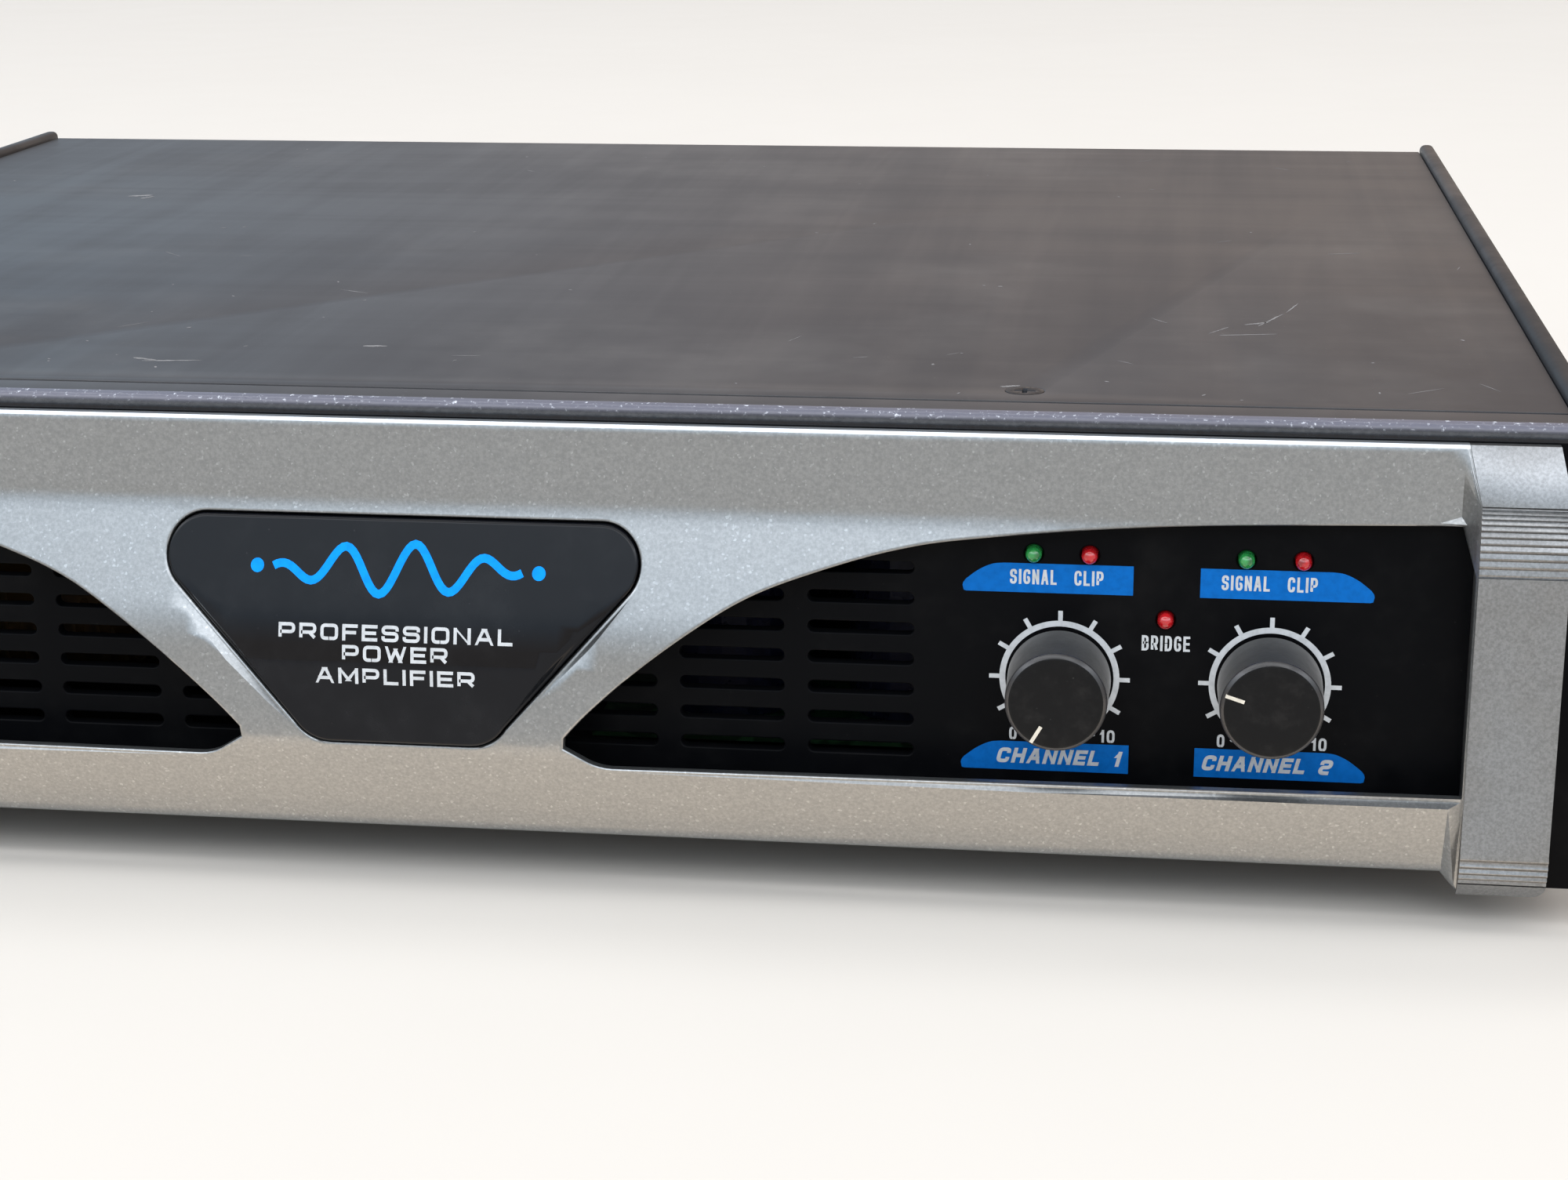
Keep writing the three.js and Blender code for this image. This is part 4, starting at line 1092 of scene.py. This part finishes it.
def cover_wear():
    scrapes = [
        (163, 96, 15, 0.7, 68), (168, 110, 11, 0.5, 75), (158, 80, 12, 0.7, 12), (152, 84, 8, 0.5, 60),
        (160, 92, 6, 1.6, 30), (-143, 246, 7, 2.6, 20), (-140, 243, 5, 1.6, 65), (-57, 33, 12, 0.9, 8),
        (-63, 34, 6, 1.4, -20), (-20, 51, 5, 1.6, 5), (112, 26, 4, 1.2, 20),
    ]
    cover_marks("cover_scuffs", scrapes)
    cover_marks("cover_grit", grit(90), 6)


# ---- carried-over CAD nodes
def fine_copies():
    for node, edge in {
        "end_column_right": 0.14, "end_column_left": 0.14, "chassis_tub": 0.3, "top_cover": 0.35,
        "rear_panel": 0.2, "power_switch_housing": 0.3, "mains_inlet": 0.3, "mode_switch_body": 0.15,
        "speaker_socket_1": 0.25, "speaker_socket_2": 0.25, "input_socket_1": 0.25, "input_socket_2": 0.25,
        "breaker_body": 0.3, "fan_guard_1": 0.3, "fan_guard_2": 0.3, "fan_frame_1": 0.3, "fan_frame_2": 0.3,
        "heat_sink_1": 0.15, "heat_sink_2": 0.15, "rectifier": 0.3, "transformer_bolt": 0.3,
    }.items():
        refined(node, edge)
    for number in range(1, 5):
        refined(f"cover_screw_{number}", 0.12, material="dark_screw")
        refined(f"rubber_foot_{number}", 0.4)
    moving = {"power_rocker": "power_key", "breaker_button": "breaker", "mode_switch_slider": "mode_key"}
    for node, body in moving.items():
        refined(node, 0.25, body=body)


def paint_cad_nodes():
    for node, piece in frame["nodes"].items():
        piece.data.materials.clear()
        piece.data.materials.append(MATERIALS[slot_of[node]])
        if not piece.hide_render:
            shade(piece.data)


# ---- stage, lights and camera
def stage():
    half = 9.0
    mesh = bpy.data.meshes.new("floor")
    around = [(-half, -half, 0), (half, -half, 0), (half, half, 0), (-half, half, 0)]
    mesh.from_pydata(around, [], [(0, 1, 2, 3)])
    mesh.materials.append(MATERIALS["floor"])
    put("floor", mesh)


def soft_light(name, at, toward, size, power, color):
    data = bpy.data.lights.new(name, "AREA")
    data.shape = "RECTANGLE"
    data.size, data.size_y = size
    data.energy = power
    data.color = color
    light = put(name, data)
    light.location = at
    light.rotation_euler = (Vector(toward) - Vector(at)).to_track_quat("-Z", "Y").to_euler()
    light.visible_camera = False


def world_light():
    """A dim room: a bright band above the front, and cool to warm behind, from left to right."""
    world = bpy.data.worlds.new("studio")
    world.use_nodes = True
    nodes, links = world.node_tree.nodes, world.node_tree.links
    background = nodes["Background"]
    direction = nodes.new("ShaderNodeTexCoord").outputs["Generated"]
    split = nodes.new("ShaderNodeSeparateXYZ")
    links.new(direction, split.inputs["Vector"])

    def ramp(value, stops):
        node = nodes.new("ShaderNodeValToRGB")
        shift = nodes.new("ShaderNodeMapRange")
        shift.inputs["From Min"].default_value = -1
        links.new(value, shift.inputs["Value"])
        links.new(shift.outputs["Result"], node.inputs["Fac"])
        elements = node.color_ramp.elements
        while len(elements) < len(stops):
            elements.new(0.5)
        for element, (where, color) in zip(elements, stops):
            element.position = (where + 1) / 2
            element.color = (*color, 1)
        return node.outputs["Color"]

    front = ramp(split.outputs["Z"], [
        (-1.0, (0.5, 0.45, 0.38)), (-0.05, (0.8, 0.7, 0.57)), (0.1, (0.9, 0.8, 0.68)),
        (0.28, (1.1, 1.3, 1.5)), (0.42, (1.6, 1.8, 2.0)), (0.6, (4.4, 4.6, 4.9)),
        (0.78, (1.2, 1.25, 1.3)), (1.0, (0.5, 0.52, 0.55)),
    ])
    back = ramp(split.outputs["X"], [
        (-0.45, (0.5, 0.62, 0.74)), (-0.1, (0.56, 0.5, 0.48)), (0.25, (0.62, 0.5, 0.42)),
    ])
    mix = nodes.new("ShaderNodeMix")
    mix.data_type = "RGBA"
    share = nodes.new("ShaderNodeMapRange")
    share.inputs["From Min"].default_value = -0.1
    share.inputs["From Max"].default_value = 0.3
    links.new(split.outputs["Y"], share.inputs["Value"])
    links.new(share.outputs["Result"], mix.inputs["Factor"])
    first, second = [i for i in mix.inputs if i.type == "RGBA"]
    links.new(front, first)
    links.new(back, second)
    links.new(next(o for o in mix.outputs if o.type == "RGBA"), background.inputs["Color"])
    background.inputs["Strength"].default_value = 1.0
    bpy.context.scene.world = world


def lights():
    soft_light("overhead_back", (-0.1, 0.5, 2.2), (0, 0.0, 0), (3.0, 0.35), 13, (0.96, 0.98, 1.0))
    soft_light("overhead_front", (-0.1, -0.75, 1.9), (0, -0.1, 0), (2.6, 0.5), 11, (0.97, 0.98, 1.0))
    card = place(60, -34, -7)
    soft_light("bounce_card", card, card + Vector((0, 0, 1)), (0.7, 0.05), 0.085, (1.0, 0.75, 0.5))
    world_light()
    bpy.context.scene.view_settings.view_transform = "Standard"


def camera():
    """A viewpoint above the right half of the front, turned a little to the left."""
    pitch, yaw, roll = math.radians(16.70), math.radians(8.07), math.radians(-0.505)
    level = Vector((math.cos(yaw), math.sin(yaw), 0))
    ahead = Vector((-math.sin(yaw) * math.cos(pitch), math.cos(yaw) * math.cos(pitch), -math.sin(pitch)))
    upright = level.cross(ahead)
    right = level * math.cos(roll) + upright * math.sin(roll)
    up = upright * math.cos(roll) - level * math.sin(roll)
    data = bpy.data.cameras.new("camera")
    data.sensor_width = 36.0
    data.lens = 63.59
    data.clip_start, data.clip_end = 0.01, 100
    view = put("camera", data)
    view.matrix_world = Matrix.Translation(place(141.55, -492.11, 202.36)) @ Matrix(
        (right, up, -ahead)
    ).transposed().to_4x4()
    bpy.context.scene.camera = view


MATERIALS["floor"] = floor_paint()
camera()
stage()
lights()
fine_copies()
front_plate()
top_flange()
fascia()
badge()
legends()
rear_legends()
emblem()
for index, start in enumerate((-150, -72)):
    knob(index + 1, knob_axes[index], start)
for node in LAMPS:
    lamp(node)
cover_wear()
paint_cad_nodes()
